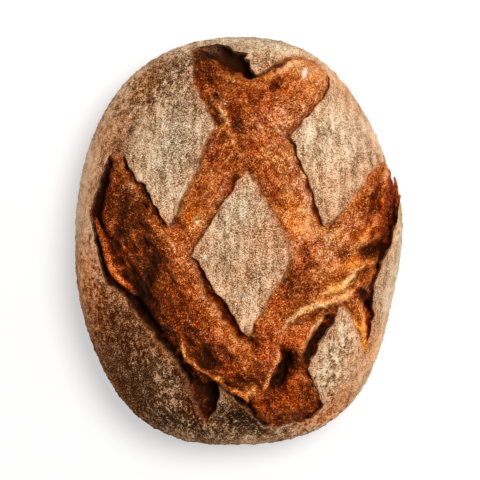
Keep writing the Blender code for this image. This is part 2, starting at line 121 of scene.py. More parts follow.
# ------------------------------------------------------------------ relief
# Folds and grooves: points of (x, y, half width, height), height under 0 for a groove.
FOLDS = {
    "left cavity, under the rim": (
        (-81.6, 51.8, 1.5, -2), (-85.4, 38.0, 3.5, -8), (-88.5, 22.3, 4.5, -10), (-88.5, 11.6, 4.0, -9),
        (-88.4, -2.8, 2.0, -6), (-84.5, -17.2, 2.0, -6), (-75.4, -29.6, 3.0, -5)),
    "left cavity, floor": (
        (-76.2, 42.8, 5, -3), (-74.7, 25.2, 9, -5), (-72.7, 6.5, 10, -6), (-68.3, -13.3, 9, -6), (-62.6, -29.4, 7, -6)),
    "left cavity, trench": (
        (-67.1, 31.4, 2.5, -1.5), (-61.9, 18.9, 3, -3), (-59.4, 3.4, 3, -4.0), (-55.6, -13.3, 4.5, -5.0),
        (-55.0, -27.5, 5.5, -5), (-54.4, -36.8, 5.5, -4)),
    "behind the left ear": ((-85.1, 9.1, 2.0, -2), (-79.8, -2.2, 3.5, -4), (-75.3, -12.1, 3.5, -4.5), (-69.6, -20.8, 3.0, -4), (-63.9, -28.2, 2.5, -3)),
    "left pillow": (
        (-65.9, 40.1, 3, 2.0), (-58.8, 28.2, 4, 3.4), (-51.9, 14.5, 5, 3.4), (-45.0, -0.9, 6, 3.0),
        (-37.6, -16.9, 6.5, 2.6), (-31.4, -33.6, 7, 2.0), (-24.0, -47.7, 7, 1.8), (-10.5, -58.9, 7, 1.6)),
    "left pit": (
        (-65.2, -34.4, 3.5, -7), (-58.9, -40.6, 6.0, -11), (-55.1, -48.0, 5.5, -10), (-50.2, -56.1, 4.5, -7), (-41.5, -65.3, 3, -4),
        (-36.6, -72.8, 3, -3)),
    "lower left hollow": ((-30.3, -60.2, 3, -2), (-26.6, -67.7, 5.0, -5.5), (-19.2, -73.9, 4.4, -5.0), (-10.5, -77.1, 2.6, -2.4), (-1.9, -78.3, 2, -0.8)),
    "lower left roll": (
        (-38.9, -47.8, 6, 1.0), (-26.5, -55.2, 5, 1.8), (-10.5, -64.5, 5.5, 2.8), (4.3, -71.4, 6, 3.2), (15.5, -75.2, 5.5, 2.9)),
    "below the lozenge": ((5.5, -59.5, 1.6, -2.6), (10.5, -63.3, 1.5, -2.4), (15.4, -66.4, 1.2, -1.0)),
    "lower middle roll": ((-15.5, -84.0, 3.5, 1.4), (-0.6, -84.0, 5.0, 2.4), (11.8, -85.3, 4.5, 2.2)),
    "lower middle furrow": ((-8.1, -85.3, 1.8, -1.6), (0.6, -87.2, 2.8, -3.4), (8.1, -88.5, 2.6, -3.0), (14.3, -89.2, 1.4, -1.2)),
    "under the bright ear": (
        (-39.0, -66.5, 2.5, -3), (-36.6, -76.6, 3.5, -4), (-30.4, -85.4, 4.5, -5), (-21.8, -91.8, 4, -6), (-10.6, -95.6, 1.6, -3),
        (-0.6, -100.8, 1.6, -3), (5.0, -108.0, 1.2, -2)),
    "bottom left crack": (
        (-21.7, -84.1, 3, -3), (-18.0, -90.4, 4.4, -9), (-16.2, -96.9, 5.0, -11), (-18.1, -103.4, 3.2, -8), (-20.7, -110.8, 1.8, -4)),
    "slit": ((-5.0, -95.6, 1.6, -4), (-0.6, -99.5, 3.0, -10), (4.4, -104.7, 2.4, -7), (9.4, -110.7, 1.2, -2.5)),
    "round hole": ((27.2, -65.2, 1.4, -3), (28.8, -72.1, 4.0, -14), (28.5, -79.7, 5.2, -15), (24.9, -86.7, 4.6, -13), (19.3, -90.5, 2.2, -6)),
    "edge of the round hole": ((22.2, -61.4, 1.4, 1.0), (24.1, -67.7, 1.4, 2.4), (22.9, -75.2, 1.5, 2.8), (19.8, -82.2, 1.4, 1.8)),
    "pale tips by the hole": ((20.5, -85.4, 1.2, 1.6), (16.8, -90.5, 1.4, 2.0), (14.3, -93.7, 1.2, 1.0)),
    "lower right gap": (
        (59.6, -43.7, 1.2, -1), (53.3, -52.4, 3.0, -4), (47.7, -61.7, 3.2, -5), (42.8, -71.0, 3.0, -5), (40.4, -79.2, 2.2, -4),
        (43.6, -86.9, 1.5, -3), (47.6, -95.5, 1.5, -3), (51.0, -102.9, 1.5, -3)),
    "bottom lobe": ((36.7, -83.6, 5, 1.2), (32.4, -94.5, 9, 2.8), (28.8, -106.3, 9, 2.6), (20.6, -96.9, 6, 1.6)),
    "bottom lobe, its end": ((14.5, -115.5, 1.6, -2.5), (29.0, -115.8, 1.6, -2.0), (42.3, -112.7, 1.6, -3.5), (50.4, -105.6, 1.6, -4)),
    "fold by the hole": ((14.2, -68.9, 2.0, 0.6), (33.4, -61.5, 3.5, 1.4), (37.8, -69.1, 2.6, 1.8), (36.6, -77.9, 3.0, 1.2)),
    "right long ridge": (
        (78.0, -14.7, 1.8, 1.6), (72.8, -18.4, 2.2, 3.0), (68.4, -23.3, 2.4, 3.4), (63.3, -28.2, 2.4, 3.0), (55.1, -31.9, 2.2, 2.0), (46.3, -34.9, 2.0, 1.0)),
    "second long ridge": (
        (79.4, -22.2, 1.6, 1.2), (73.5, -26.5, 2.0, 2.4), (66.5, -30.8, 2.2, 2.6), (58.9, -34.4, 2.0, 1.6)),
    "third long ridge": (
        (73.6, -32.1, 1.6, 1.4), (66.5, -35.7, 2.0, 3.0), (60.2, -38.1, 2.0, 3.4), (50.1, -39.9, 2.2, 3.0), (40.7, -42.3, 2.4, 3.0),
        (33.3, -46.6, 2.6, 2.8), (25.3, -52.7, 2.6, 2.2), (17.9, -60.2, 2.6, 1.4)),
    "between the long ridges": (
        (83.3, -17.2, 2, -2), (77.4, -21.5, 1.4, -2.4), (70.3, -27.1, 1.1, -2.0), (63.9, -32.0, 1.1, -1.6), (53.8, -36.2, 1.3, -1.4)),
    "below the long ridge": ((57.7, -42.5, 2.0, -1.2), (47.6, -44.2, 2.4, -2.4), (37.6, -47.8, 2.6, -2.6), (31.5, -57.7, 2.2, -2.2)),
    "second ridge": ((53.9, -48.0, 1.2, 1.0), (46.4, -52.9, 1.5, 2.2), (40.2, -62.8, 1.5, 2.4), (37.2, -70.3, 1.4, 1.6)),
    "right dark fold": ((93.9, 1.6, 1.6, -0.8), (89.1, -2.2, 2.8, -2.4), (84.5, -5.9, 4.2, -5.5), (78.6, -9.0, 3.4, -5)),
    "below the dark fold": ((68.9, -10.9, 1.6, 1.4), (76.7, -12.8, 1.8, 2.2), (84.5, -13.5, 1.8, 2.2), (88.6, -13.5, 1.4, 1.0)),
    "right lobe ridge": ((92.0, 46.0, 1.6, 1.2), (92.9, 35.1, 1.8, 2.4), (90.6, 23.0, 2.0, 2.8), (87.8, 11.6, 1.8, 2.4), (83.1, 0.3, 1.8, 1.8)),
    "right lobe, inner ridge": ((84.2, 39.3, 1.4, 1.0), (82.0, 27.8, 1.8, 1.8), (77.9, 16.5, 1.8, 2.0), (74.7, 5.3, 2.2, 2.4), (70.2, -5.9, 2.0, 1.4)),
    "right lobe hollow": ((88.2, 36.8, 1.8, -1.4), (86.6, 25.4, 2.2, -2.6), (83.1, 12.8, 2.2, -2.8), (79.2, 1.6, 2.2, -2.2)),
    "right lobe, second hollow": ((76.7, 26.5, 2.2, -1.4), (72.7, 16.5, 2.4, -1.8), (68.9, 5.3, 2.2, -1.0)),
    "right lobe trench": ((98.4, 24.4, 1.2, -1.5), (97.4, 11.7, 1.6, -2.0), (93.9, -2.2, 1.6, -1.2),
                          (88.6, -13.5, 1.8, -3.5), (85.4, -24.8, 1.6, -1.5)),
    "right crack": ((72.9, -31.5, 2.0, -3), (78.2, -34.1, 3.4, -3.6), (80.9, -39.2, 3.2, -3.6), (82.3, -46.2, 2.4, -3.0), (81.9, -56.4, 1.6, -2), (80.0, -64.0, 1.0, -1)),
    "right lobe middle roll": ((56.2, 0.3, 6, 1.6), (65.7, 11.5, 6, 2.0), (72.8, 22.7, 5, 1.8), (78.1, 34.1, 4, 1.2)),
    "top hole": (
        (-22.8, 120.7, 2.6, -7), (-17.1, 119.8, 4.4, -15), (-10.1, 116.2, 6.4, -18), (-2.5, 112.1, 7.4, -20), (3.8, 108.1, 5.6, -17),
        (9.4, 103.4, 2.0, -7)),
    "lip of the top hole": ((-22.0, 113.6, 2.0, 1.0), (-14.4, 107.5, 2.2, 2.2), (-6.9, 101.5, 2.4, 2.6), (1.9, 98.2, 2.4, 2.2), (9.4, 98.9, 2.0, 0.8)),
    "top flap, right edge": ((11.9, 104.8, 1.4, -3.0), (19.4, 108.8, 1.6, -3.4), (27.7, 113.8, 1.6, -3.0), (36.1, 116.6, 1.3, -1.5)),
    "top lobe roll": ((18.1, 101.5, 4, 1.2), (29.5, 105.7, 6, 2.0), (42.1, 103.4, 7, 2.0), (45.7, 93.0, 7, 1.4), (32.9, 79.8, 7, 1.0)),
    "top dimple": ((19.3, 97.6, 2.0, -1.0), (22.4, 95.7, 2.8, -2.6), (25.6, 93.8, 1.6, -0.8)),
    "top crease": ((5.0, 91.1, 1.2, -0.8), (8.1, 87.9, 1.8, -2.2), (11.8, 83.4, 1.4, -1.6), (14.2, 78.4, 1.0, -0.5)),
    "pale thread": ((-11.2, 87.2, 1.2, 0.6), (-9.9, 82.1, 1.3, 1.6), (-6.8, 73.9, 1.3, 1.5), (-4.3, 64.5, 1.3, 1.2),
                    (-0.6, 56.4, 1.2, 0.9), (4.9, 49.6, 1.2, 0.8)),
    "upper left fold": ((0.6, 88.5, 2.0, -0.8), (-1.9, 82.8, 2.8, -2.6), (-4.9, 75.2, 2.4, -2.2), (-1.9, 65.1, 2.2, -1.6), (2.5, 57.0, 2, -1.2)),
    "upper left edge": ((-21.8, 92.5, 2.0, -1.0), (-17.4, 82.2, 2.2, -2.4), (-13.6, 73.3, 2.0, -2.0)),
    "upper left rise": ((-20.7, 108.2, 4, 0.8), (-13.1, 97.6, 5, 1.4), (-4.4, 91.1, 5, 1.2)),
    "right lobe, over the side": ((97.4, 53.2, 6, -2.0), (101.9, 45.5, 7, -4.0), (103.8, 36.4, 6, -4.0), (104.5, 28.7, 4, -2.0)),
    "node, upper": ((4.9, 62.0, 5, 0.8), (4.3, 54.5, 4, 1.2), (6.8, 47.1, 3, 0.6)),
    "node, left": ((-45.6, 5.2, 4, 1.0), (-36.3, 0.3, 4, 0.8), (-30.1, -13.2, 4, 0.8)),
    "node, right": ((35.1, 2.8, 2.5, 1.0), (33.2, -8.3, 3, 1.4), (29.5, -23.1, 2.6, 0.8), (45.0, 0.3, 3, 0.8)),
}
# Folds that also reach under the skin beside them.
REACH_UNDER = ("left cavity, under the rim", "left pit", "top hole", "bottom left crack", "slit",
               "lower right gap", "right crack", "right lobe trench")

# Torn strands of crust: points of (x, y, radius, height over the dome).
STRANDS = {
    "left ear": (
        (-90.2, 14.1, 0.9, -1.2), (-87.4, 6.6, 1.7, -0.6), (-83.8, -2.8, 2.1, -0.3), (-81.2, -12.2, 2.1, -0.3),
        (-78.6, -19.0, 2.1, -0.4), (-74.1, -24.0, 2.0, -0.8), (-69.0, -28.3, 1.8, -1.6), (-63.9, -33.2, 1.4, -3.0)),
    "bright ear": (
        (-35.8, -60.9, 1.0, 1.2), (-34.0, -68.4, 1.6, 2.4), (-29.7, -74.6, 1.6, 2.8), (-24.2, -79.0, 1.5, 3.0), (-17.4, -82.8, 1.3, 3.0),
        (-10.6, -89.1, 1.3, 3.0), (-3.7, -93.6, 1.4, 2.8), (2.5, -96.2, 1.5, 2.4), (5.6, -100.8, 1.0, 0.6)),
    "right ear": ((68.4, -35.2, 1.2, 0.6), (73.7, -42.8, 1.8, 1.4), (76.8, -51.7, 1.7, 1.4), (78.6, -61.3, 1.3, 0.8), (79.8, -69.1, 0.8, 0.2)),
    "hole's edge": ((21.0, -60.8, 1.0, 2.4), (24.1, -66.4, 1.3, 3.6), (23.2, -74.6, 1.3, 4.2), (19.8, -81.5, 1.1, 3.2)),
    "flake": ((99.7, 20.6, 0.8, -1.0), (100.4, 28.4, 1.1, -1.0), (100.6, 34.9, 1.0, 0.4), (99.8, 41.0, 0.5, 2.0)),
    "flake, lower": ((101.0, 23.3, 0.7, -1.0), (102.7, 26.6, 0.6, 0.4), (104.0, 29.0, 0.35, 1.0)),
}

# Where the dough was drawn as \\ (above 0) or as / (below 0).
DRAWN = (
    (-11.8, 96.9, 26, 14, -60, 0.5), (40.7, 34.2, 30, 14, -70, 1.0), (17.9, 65.2, 20, 12, -60, 0.3), (-24.0, 37.2, 30, 14, 57, -1.0),
    (-48.7, -5.9, 40, 22, -60, 0.8), (-20.9, -42.8, 40, 22, -50, 1.0), (28.7, 93.8, 24, 14, 45, -0.4), (56.3, -12.1, 44, 24, 50, -1.0),
    (85.2, 25.4, 20, 12, 80, -0.8), (75.7, -43.5, 20, 8, -70, 1.0), (0.6, -83.4, 24, 12, -30, 0.8), (28.7, -99.6, 20, 14, -40, 0.4),
)

# Broad unevenness of the dome: (x, y, radius along, radius across, angle, height).
DOME = (
    (-48.0, 52.0, 46.0, 30.0, 40.0, 1.2),
    (58.0, 48.0, 40.0, 26.0, -60.0, 1.0),
    (4.0, -2.0, 30.0, 22.0, 90.0, 1.0),
    (-62.0, -78.0, 36.0, 26.0, -50.0, -1.2),
    (66.0, -86.0, 34.0, 22.0, 50.0, 1.0),
    (-96.0, -30.0, 30.0, 12.0, 90.0, 1.0),
    (100.0, 45.5, 16, 9, -70, -1.8),
)

# Where the skin lies flush with the dough after all: (x, y, radius along, radius across, angle, amount).
FLUSH = ((71.9, -52.2, 18, 4.5, -64, 1.3), (-76.4, 54.1, 8, 4, 0, 1.2), (67.2, -42.6, 5, 5, 0, 1.0), (8.6, 42.1, 6, 5, -55, 1.0), (11.7, 36.0, 6, 5, -55, 1.0), (46.9, -90.9, 18, 4, -62, 0.55), (46.4, 114.8, 12, 5, -32, 1.0), (52.8, 109.7, 7, 5, -45, 0.9), (-37.6, 15.1, 7, 3, 62, 1.1), (12.3, -50.2, 8, 3, 62, 1.1))

# Where a slash does run lower down the side: (x, y, radius along, radius across, angle, mm lower).
LOW_SHUT = ((98.9, 36.1, 20, 11, 84, 12.0),)

# Gaps between an edge of the skin and the dough beside it: points of (x, y, width).
GAPS = {
    "left flap, left edge": ((-73.1, 52.8, 1.4), (-69.1, 47.6, 2.8), (-65.2, 39.4, 3.4), (-57.6, 33.1, 4.0), (-53.1, 23.8, 5.4), (-48.1, 15.7, 5.2), (-45.0, 12.0, 4.6), (-43.1, 7.7, 2.6)),
    "lozenge, lower left": ((-26.4, -12.0, 1.6), (-20.3, -23.0, 3.5), (-15.4, -31.7, 4.4), (-8.0, -40.3, 5.8), (-1.8, -49.6, 5.6), (4.3, -57.6, 3.9)),
    "lozenge, upper left": ((2.5, 39.7, 1.0), (0.0, 36.0, 2.6), (-4.9, 29.8, 2.6), (-10.4, 22.4, 2.2), (-17.2, 11.4, 1.8), (-26.4, -4.0, 1.2)),
    "right flap, left edge": ((32.2, 63.4, 1.3), (35.8, 52.2, 1.6), (39.5, 43.5, 1.6), (44.4, 28.7, 1.7), (48.1, 18.8, 3.2), (51.2, 11.4, 3.4), (52.5, 9.0, 1.4)),
    "right flap, top edge": ((55.3, 107.1, 0.6), (56.9, 100.3, 1.2), (55.4, 93.4, 1.6), (48.1, 84.0, 1.9), (41.7, 76.8, 1.8), (32.8, 65.3, 1.5)),
    "lower right flap, left edge": ((61.5, -41.9, 0.8), (60.2, -46.9, 3.0), (58.4, -51.2, 5.6), (52.1, -61.1, 7.4), (47.2, -71.1, 7.0), (42.3, -79.9, 3.4)),
    "lower right flap, foot": ((42.9, -82.4, 1.2), (46.2, -89.6, 1.4), (49.5, -97.5, 1.7), (52.3, -104.3, 1.6)),
    "right rim": ((102.4, 25.3, 1.6), (99.6, 9.8, 2.8), (96.0, -1.6, 2.8), (89.9, -13.5, 3.0), (87.3, -22.3, 1.4), (84.1, -31.1, 2.6),
                  (84.6, -39.9, 5.2), (84.1, -51.4, 4.0), (81.3, -60.8, 2.0), (80.1, -67.2, 0.6)),
    "left rim, upper": ((-80.3, 54.3, 1.0), (-86.1, 43.7, 3.4), (-90.0, 33.7, 6.2), (-93.3, 24.9, 8.0), (-95.0, 18.0, 7.6)),
    "left rim, lower": ((-93.9, 12.9, 3.0), (-91.8, 4.1, 2.8), (-88.4, -9.1, 2.6), (-84.8, -21.6, 2.4), (-78.6, -29.0, 2.4)),
    "lower left flap, pit": ((-76.1, -30.9, 2.4), (-70.9, -36.4, 6.0), (-66.5, -43.2, 9.0), (-60.8, -50.6, 7.4), (-55.2, -57.4, 5.6), (-49.0, -65.4, 4.0), (-41.5, -72.2, 3.4), (-35.4, -82.3, 3.4)),
    "top flap": ((11.9, 103.4, 1.6), (16.9, 106.1, 2.4), (23.3, 111.2, 2.6), (29.7, 115.2, 1.8), (37.4, 117.0, 0.6)),
    "top flap, over the hole": ((-21.0, 123.2, 1.0), (-15.9, 123.8, 3.6), (-10.8, 124.1, 5.5), (-5.1, 120.4, 6.5), (0.6, 116.9, 6.5), (5.7, 113.5, 6.0), (7.5, 107.4, 5.0), (10.6, 103.4, 1.6)),
    "bottom flap, left edge": ((-11.8, -91.7, 4.0), (-11.8, -98.2, 6.0), (-15.3, -106.7, 4.0), (-19.5, -112.8, 1.0)),
    "bottom flap, slit": ((-8.1, -93.6, 1.2), (-3.7, -97.5, 4.8), (1.2, -101.4, 5.6), (5.0, -105.4, 3.0), (11.9, -113.5, 1.6)),
}

# ------------------------------------------------------------------ tints, broad patches
# (x, y, radius along, radius across, angle, amount)
RED = (          # redder above 0, yellower under 0
    (-71.2, -55.9, 44, 18, 130, 0.85), (-92.9, -37.6, 30, 10, 105, 0.60), (-84.4, -2.8, 26, 4, 104, 0.7), (-75.4, -22.7, 14, 4, 140, 0.8), (-96.7, -14.9, 16, 5, 95, 0.6), (-40.9, -111.2, 14, 5, 170, -0.6), (-38.2, -101.1, 26, 10, 155, 0.4), (-65.4, -91.6, 30, 12, 135, -0.30), (24.6, -117.8, 18, 9, 0, -0.7), (79.3, -95.1, 16, 6, 50, -0.5),
    (-68.6, 85.3, 34, 12, 52, 0.75), (-57.5, 101.3, 14, 10, 40, 0.6), (-89.1, 54.0, 26, 6, 66, 0.40), (-84.6, 31.6, 22, 4, 80, 0.5), (-60.1, -35.6, 14, 6, 140, -0.5), (-50.1, -52.3, 22, 5, 130, -0.5),
    (-56.2, -9.0, 26, 5, 78, -0.4), (-16.8, -96.2, 10, 5, 90, -0.3), (-8.1, -95.6, 22, 5, -30, 0.6), (10.6, -101.5, 11, 7, 0, 0.7), (-23.2, -112.1, 12, 7, 0, 0.9), (-19.8, -72.7, 16, 8, 0, -0.4), (95.4, 22.4, 26, 6, 84, 0.6), (77.2, 6.5, 16, 5, 60, 0.6),
    (-30.1, 15.7, 16, 5, 60, 0.9), (-0.6, 37.2, 7, 4, 50, 0.7), (16.0, 40.3, 11, 6, -50, 0.5), (33.5, 79.8, 8, 6, 0, -0.6), (-16.6, 42.2, 16, 7, 60, 0.5), (-10.5, 55.8, 12, 7, 0, 0.4), (9.9, 55.8, 10, 5, 90, 0.3),
    (28.3, 21.8, 24, 5, -60, 0.4), (-55.0, 25.0, 18, 4, 122, 0.4), (-46.9, 11.4, 14, 4, 122, 0.4), (79.1, -53.1, 28, 9, 90, 0.75), (79.3, -61.4, 11, 4, 100, 0.35), (70.2, -13.4, 8, 4, 0, 0.4), (82.1, -32.3, 8, 6, 0, -0.9), (80.6, -19.7, 6, 4, 0, 0.5), (79.2, 4.1, 9, 5, 60, 0.4),
    (0.6, -75.2, 24, 8, 0, 0.4), (22.2, -44.0, 14, 5, 60, 0.3), (41.8, 114.4, 40, 6, -8, 0.15), (28.7, 93.8, 26, 14, 0, 0.25), (-54.0, -58.0, 44, 3.5, 124, 0.6),
    (14.2, -64.5, 14, 9, 60, 0.4), (32.1, -63.4, 12, 6, 20, 1.2), (34.2, -87.4, 13, 8, 60, 1.0), (38.5, -79.2, 13, 4, 80, -0.6), (-18.7, -100.2, 12, 5, 85, -0.6), (74.1, -20.2, 12, 4, 50, -0.7), (91.8, 42.1, 8, 5, 0, -0.4),
    (28.8, -102.9, 24, 9, 0, 0.9), (-26.3, -106.1, 14, 10, 80, 0.2), (6.9, -119.7, 30, 6, 0, 0.5), (59.0, -107.5, 28, 8, 35, 0.75), (38.6, -117.5, 22, 5, 15, 0.7),
    (-30.2, -47.8, 38, 20, -45, 0.45), (-38.8, -27.4, 26, 12, -60, 0.25), (-20.9, -28.0, 17, 6, -62, -0.4), (-65.1, -17.0, 8, 6, 0, -0.5), (-2.5, -68.9, 26, 14, 0, 0.20), (22.2, -50.2, 16, 8, 60, 0.5),
    (40.0, -13.2, 12, 4, 80, 0.5), (69.1, -34.5, 18, 5, 24, 0.4), (95.4, 20.5, 24, 6, 85, 0.8), (91.8, 0.3, 20, 5, 60, 0.4),
    (72.8, -13.4, 10, 4, 20, 0.5), (80.8, 36.6, 16, 6, 60, 0.4), (9.9, 88.5, 44, 22, 0, 0.30), (10.0, 103.4, 8, 3, 0, 0.5),
    (-21.3, 103.5, 16, 9, 80, 0.2), (-11.9, 113.5, 18, 7, -20, -0.4), (29.0, 112.4, 12, 4, 30, 0.4), (60.3, 100.6, 16, 6, -60, 0.5), (-21.8, 89.9, 10, 4, 60, 0.5),
    (24.0, 17.5, 12, 5, -55, 0.4), (12.9, -1.5, 20, 8, 10, 0.25), (81.3, 80.9, 50, 7, -58, 0.45), (90.4, -67.0, 50, 7, 68, 0.75), (-96.8, 18.0, 14, 4, 90, 0.4), (-5.0, 77.1, 7, 3, 90, 0.5), (-20.4, 63.3, 26, 8, 76, -0.45), (-56.2, 0.3, 16, 8, 70, 0.3),
    (92.6, 17.9, 30, 7, 80, 0.9),
    (-0.6, 17.5, 20, 14, 60, -0.45), (-6.8, -8.9, 12, 8, 80, -0.4), (10.4, -23.0, 14, 9, 60, -0.35), (-1.8, -36.6, 8, 6, 0, -0.4),
    (-45.7, 48.5, 34, 14, 62, -0.5), (-37.6, 27.4, 12, 8, 60, -0.5), (-37.8, 65.3, 22, 12, 80, -0.35), (50.4, 68.7, 16, 12, 0, -0.6),
    (40.9, 61.0, 10, 5, 90, -0.4), (51.4, 49.9, 14, 7, 90, -0.4), (29.6, 43.5, 14, 5, 100, -0.4), (28.4, 65.2, 6, 5, 0, -0.4),
    (-9.3, 73.3, 14, 4, 110, -0.5), (-65.8, 33.2, 9, 4, 130, -0.5), (63.8, -7.1, 6, 4, 0, -0.3), (51.9, -9.0, 16, 9, 60, -0.35),
    (56.7, -75.8, 26, 8, 70, -0.5), (47.6, -40.5, 20, 3, 14, -0.4), (41.7, 110.2, 16, 5, -8, -0.15),
)
GOLD = (         # dough: more golden above 0, duller with a dusting of flour under 0
    (-25.2, -19.4, 22, 6, -62, -0.45), (33.9, 42.2, 12, 6, 80, -0.45), (16.6, 31.0, 8, 5, -55, -0.5), (-8.0, 32.3, 10, 5, 50, -0.6),
    (66.3, 11.5, 8, 6, 0, -0.5), (55.0, -5.9, 16, 10, 20, -0.45), (32.0, -5.8, 8, 6, 80, -0.7), (31.4, 24.9, 8, 5, -50, 0.3),
    (-13.6, -63.9, 12, 5, -40, -0.6), (20.4, -64.5, 10, 6, 90, -0.3), (-33.2, 11.4, 8, 4, 60, 0.3), (19.2, -77.7, 7, 5, 0, -0.4), (-16.7, 58.9, 14, 6, 80, -0.5),
    (14.2, 73.3, 14, 8, 60, -0.4), (29.7, 65.9, 9, 6, 60, -0.7), (40.7, -30.5, 6, 5, 0, -0.6), (31.7, 80.4, 9, 5, 0, -0.6),
    (40.1, 29.9, 12, 6, -70, -0.5), (-63.9, 30.7, 13, 4, -30, -0.5), (-36.3, 9.5, 8, 5, 0, -0.4), (80.8, -32.3, 6, 6, 0, -0.5),
    (73.2, -53.5, 20, 5, -64, 0.45), (61.3, 2.8, 9, 4, 50, 0.3), (68.9, -14.6, 12, 5, 10, 0.35), (60.7, -29.4, 18, 5, 30, 0.35), (75.9, 2.2, 9, 5, 60, 0.4),
    (60.0, 15.2, 16, 4, 50, 0.3), (27.7, 17.5, 10, 6, -50, 0.2), (35.7, 4.6, 12, 5, 80, 0.2),
    (-30.1, 14.5, 12, 4, 70, 0.3), (11.2, 102.8, 12, 4, -20, 0.4), (4.4, -95.6, 8, 4, -20, 0.3), (-14.3, -85.3, 9, 4, -20, 0.3),
    (50.4, -78.8, 5, 4, 0, 0.4), (-19.0, -9.5, 16, 6, 80, 0.14), (3.7, -52.0, 10, 6, 0, 0.20),
)
FLAKY = (        # flour that came off in flakes
    (-48.4, 100.9, 36, 18, 40, 1.0), (-76.5, 81.2, 34, 12, 60, 0.6), (-74.4, -56.0, 64, 24, 125, 0.8), (-5.7, -112.7, 54, 14, 0, 1.5),
    (55.5, -119.0, 36, 9, 30, 1.2), (59.9, -75.9, 34, 12, 60, 1.1), (-93.9, -6.0, 44, 9, 90, 0.6), (-46.1, -87.0, 30, 16, 130, 0.6),
)
# More flour above 0, less under 0; the darker lower left and the lighter rims are partly real flour and brown crust,
# partly painted shade and painted light.
FLOUR_AND_PAINTED_LIGHT = (
    (66.4, 69.3, 60, 20, -62, 0.05), (-45.8, 56.0, 44, 22, 80, -0.03), (63.2, -77.9, 30, 16, 60, 0.04), (97.2, -38.1, 60, 9, 78, 0.06), (-56.1, 99.9, 32, 14, 40, -0.21),
    (-36.0, 114.0, 18, 8, 10, -0.18), (-79.9, -67.7, 64, 22, 120, -0.41), (-55.9, -97.0, 46, 26, 150, -0.34), (-62.8, -59.4, 30, 12, 130, -0.22),
    (0.6, -111.4, 28, 11, -14, -0.70), (-8.1, -102.1, 8, 2.2, -50, 0.26), (-5.6, -99.5, 8, 6, 0, -0.12), (-30.5, 84.2, 34, 6, 82, -0.12), (-39.8, 84.3, 26, 3.4, 82, -0.12),
    (-45.4, 78.1, 30, 3.4, 80, 0.06), (7.0, 124.0, 34, 8, 0, -0.14), (-55.1, 42.4, 20, 8, 60, 0.08), (-38.8, 24.9, 20, 5, 62, 0.10),
    (42.7, 54.8, 30, 8, 80, 0.11), (69.2, 47.1, 16, 6, 80, 0.10), (57.9, -65.0, 30, 7, 70, 0.08), (50.6, -85.8, 16, 7, -60, -0.08), (12.5, 109.4, 8, 5, 60, -0.12), (-10.7, -119.6, 16, 5, 0, 0.12), (38.7, -119.0, 30, 5, 14, 0.14), (-75.1, 55.4, 9, 4, 75, -0.45), (-30.5, -94.4, 26, 8, 75, -0.30), (-101.1, 3.5, 56, 5, 92, 0.10), (-92.5, 0.3, 50, 6, 92, 0.20),
    (71.6, -109.3, 44, 9, 42, 0.06), (89.7, -73.9, 34, 6, 64, 0.16), (87.7, 77.7, 44, 6, -58, -0.06),
    (-15.1, -111.4, 8, 4, 60, 0.30), (-46.3, -94.7, 14, 5, 130, 0.20), (-61.7, -68.2, 26, 6, 128, 0.12), (-43.1, -92.0, 20, 8, 115, 0.10), (29.2, -121.5, 34, 7, 4, -0.12),
    (-37.3, -115.9, 30, 5, 165, -0.10), (67.3, 92.4, 20, 5, -50, -0.10), (14.1, 3.4, 16, 9, 20, -0.07), (-0.6, 17.5, 16, 9, 60, 0.04), (-80.1, 69.7, 34, 7, 60, 0.02),
    (-42.7, 56.0, 50, 16, 62, -0.04), (-50.1, 42.4, 20, 8, 60, -0.05), (69.2, 47.1, 22, 8, -60, -0.05), (-87.8, -56.5, 60, 8, 108, 0.10),
    (38.7, -119.0, 40, 6, 12, 0.05), (-76.0, -98.7, 50, 6, 128, -0.06),
)
ORANGE = (       # crust baked orange-brown where the flour is thin
    (-94.8, -70.6, 56, 10, 108, 0.8), (-101.1, 0.3, 56, 5, 90, 0.6), (0.6, 1.5, 30, 20, 60, 0.22), (-75.1, 56.6, 12, 5, 75, 1.0), (-92.5, 9.8, 60, 6, 92, 0.35), (-29.3, -93.1, 26, 7, 75, 0.7), (-73.5, -106.1, 46, 8, 128, 0.7), (39.3, -126.1, 40, 5, 12, 0.5), (70.5, -98.2, 34, 8, 50, 0.9),
    (86.4, -66.4, 30, 5, 66, 0.5), (-85.2, 76.7, 30, 5, 62, 0.5), (84.5, 84.2, 36, 6, -56, 0.5), (58.2, 109.1, 26, 5, -44, 0.6),
    (66.4, -78.0, 16, 6, 50, 0.4), (98.7, -38.4, 40, 3, 82, 0.4), (-42.6, 37.3, 30, 10, 60, 0.1),
)
DUST_AND_SHEEN = (         # flour that lies dry and whitish; along the rims partly a painted sheen
    (-0.6, 17.5, 18, 12, 60, 0.45), (-4.3, -12.0, 16, 12, 60, 0.25), (59.9, -75.9, 26, 8, 66, 0.14), (66.5, 72.5, 60, 16, -62, 0.40), (97.2, -38.1, 60, 9, 80, 0.70), (7.0, 125.5, 34, 8, 0, 0.70), (-46.0, 74.9, 46, 26, 60, 0.50),
    (58.7, -119.0, 30, 8, 30, 0.60), (80.6, -89.3, 30, 6, 60, 0.55), (0.6, -119.6, 40, 6, 0, 0.5),
    (70.9, -71.8, 20, 6, 60, 0.15), (-15.1, -111.4, 10, 5, 60, 0.4), (-62.4, 94.9, 30, 14, 40, 0.3), (-49.4, -93.5, 30, 14, 130, 0.3),
)
GREY = (         # flour darkened to greenish grey at the lower end, which turns from the light: partly scorched flour, partly painted shade
    (-2.5, -109.4, 24, 12, -20, 0.8), (-49.2, -80.6, 40, 14, 128, 0.5), (-56.0, 97.9, 30, 12, 40, 0.35), (-30.9, -116.4, 26, 6, 160, 0.5),
)
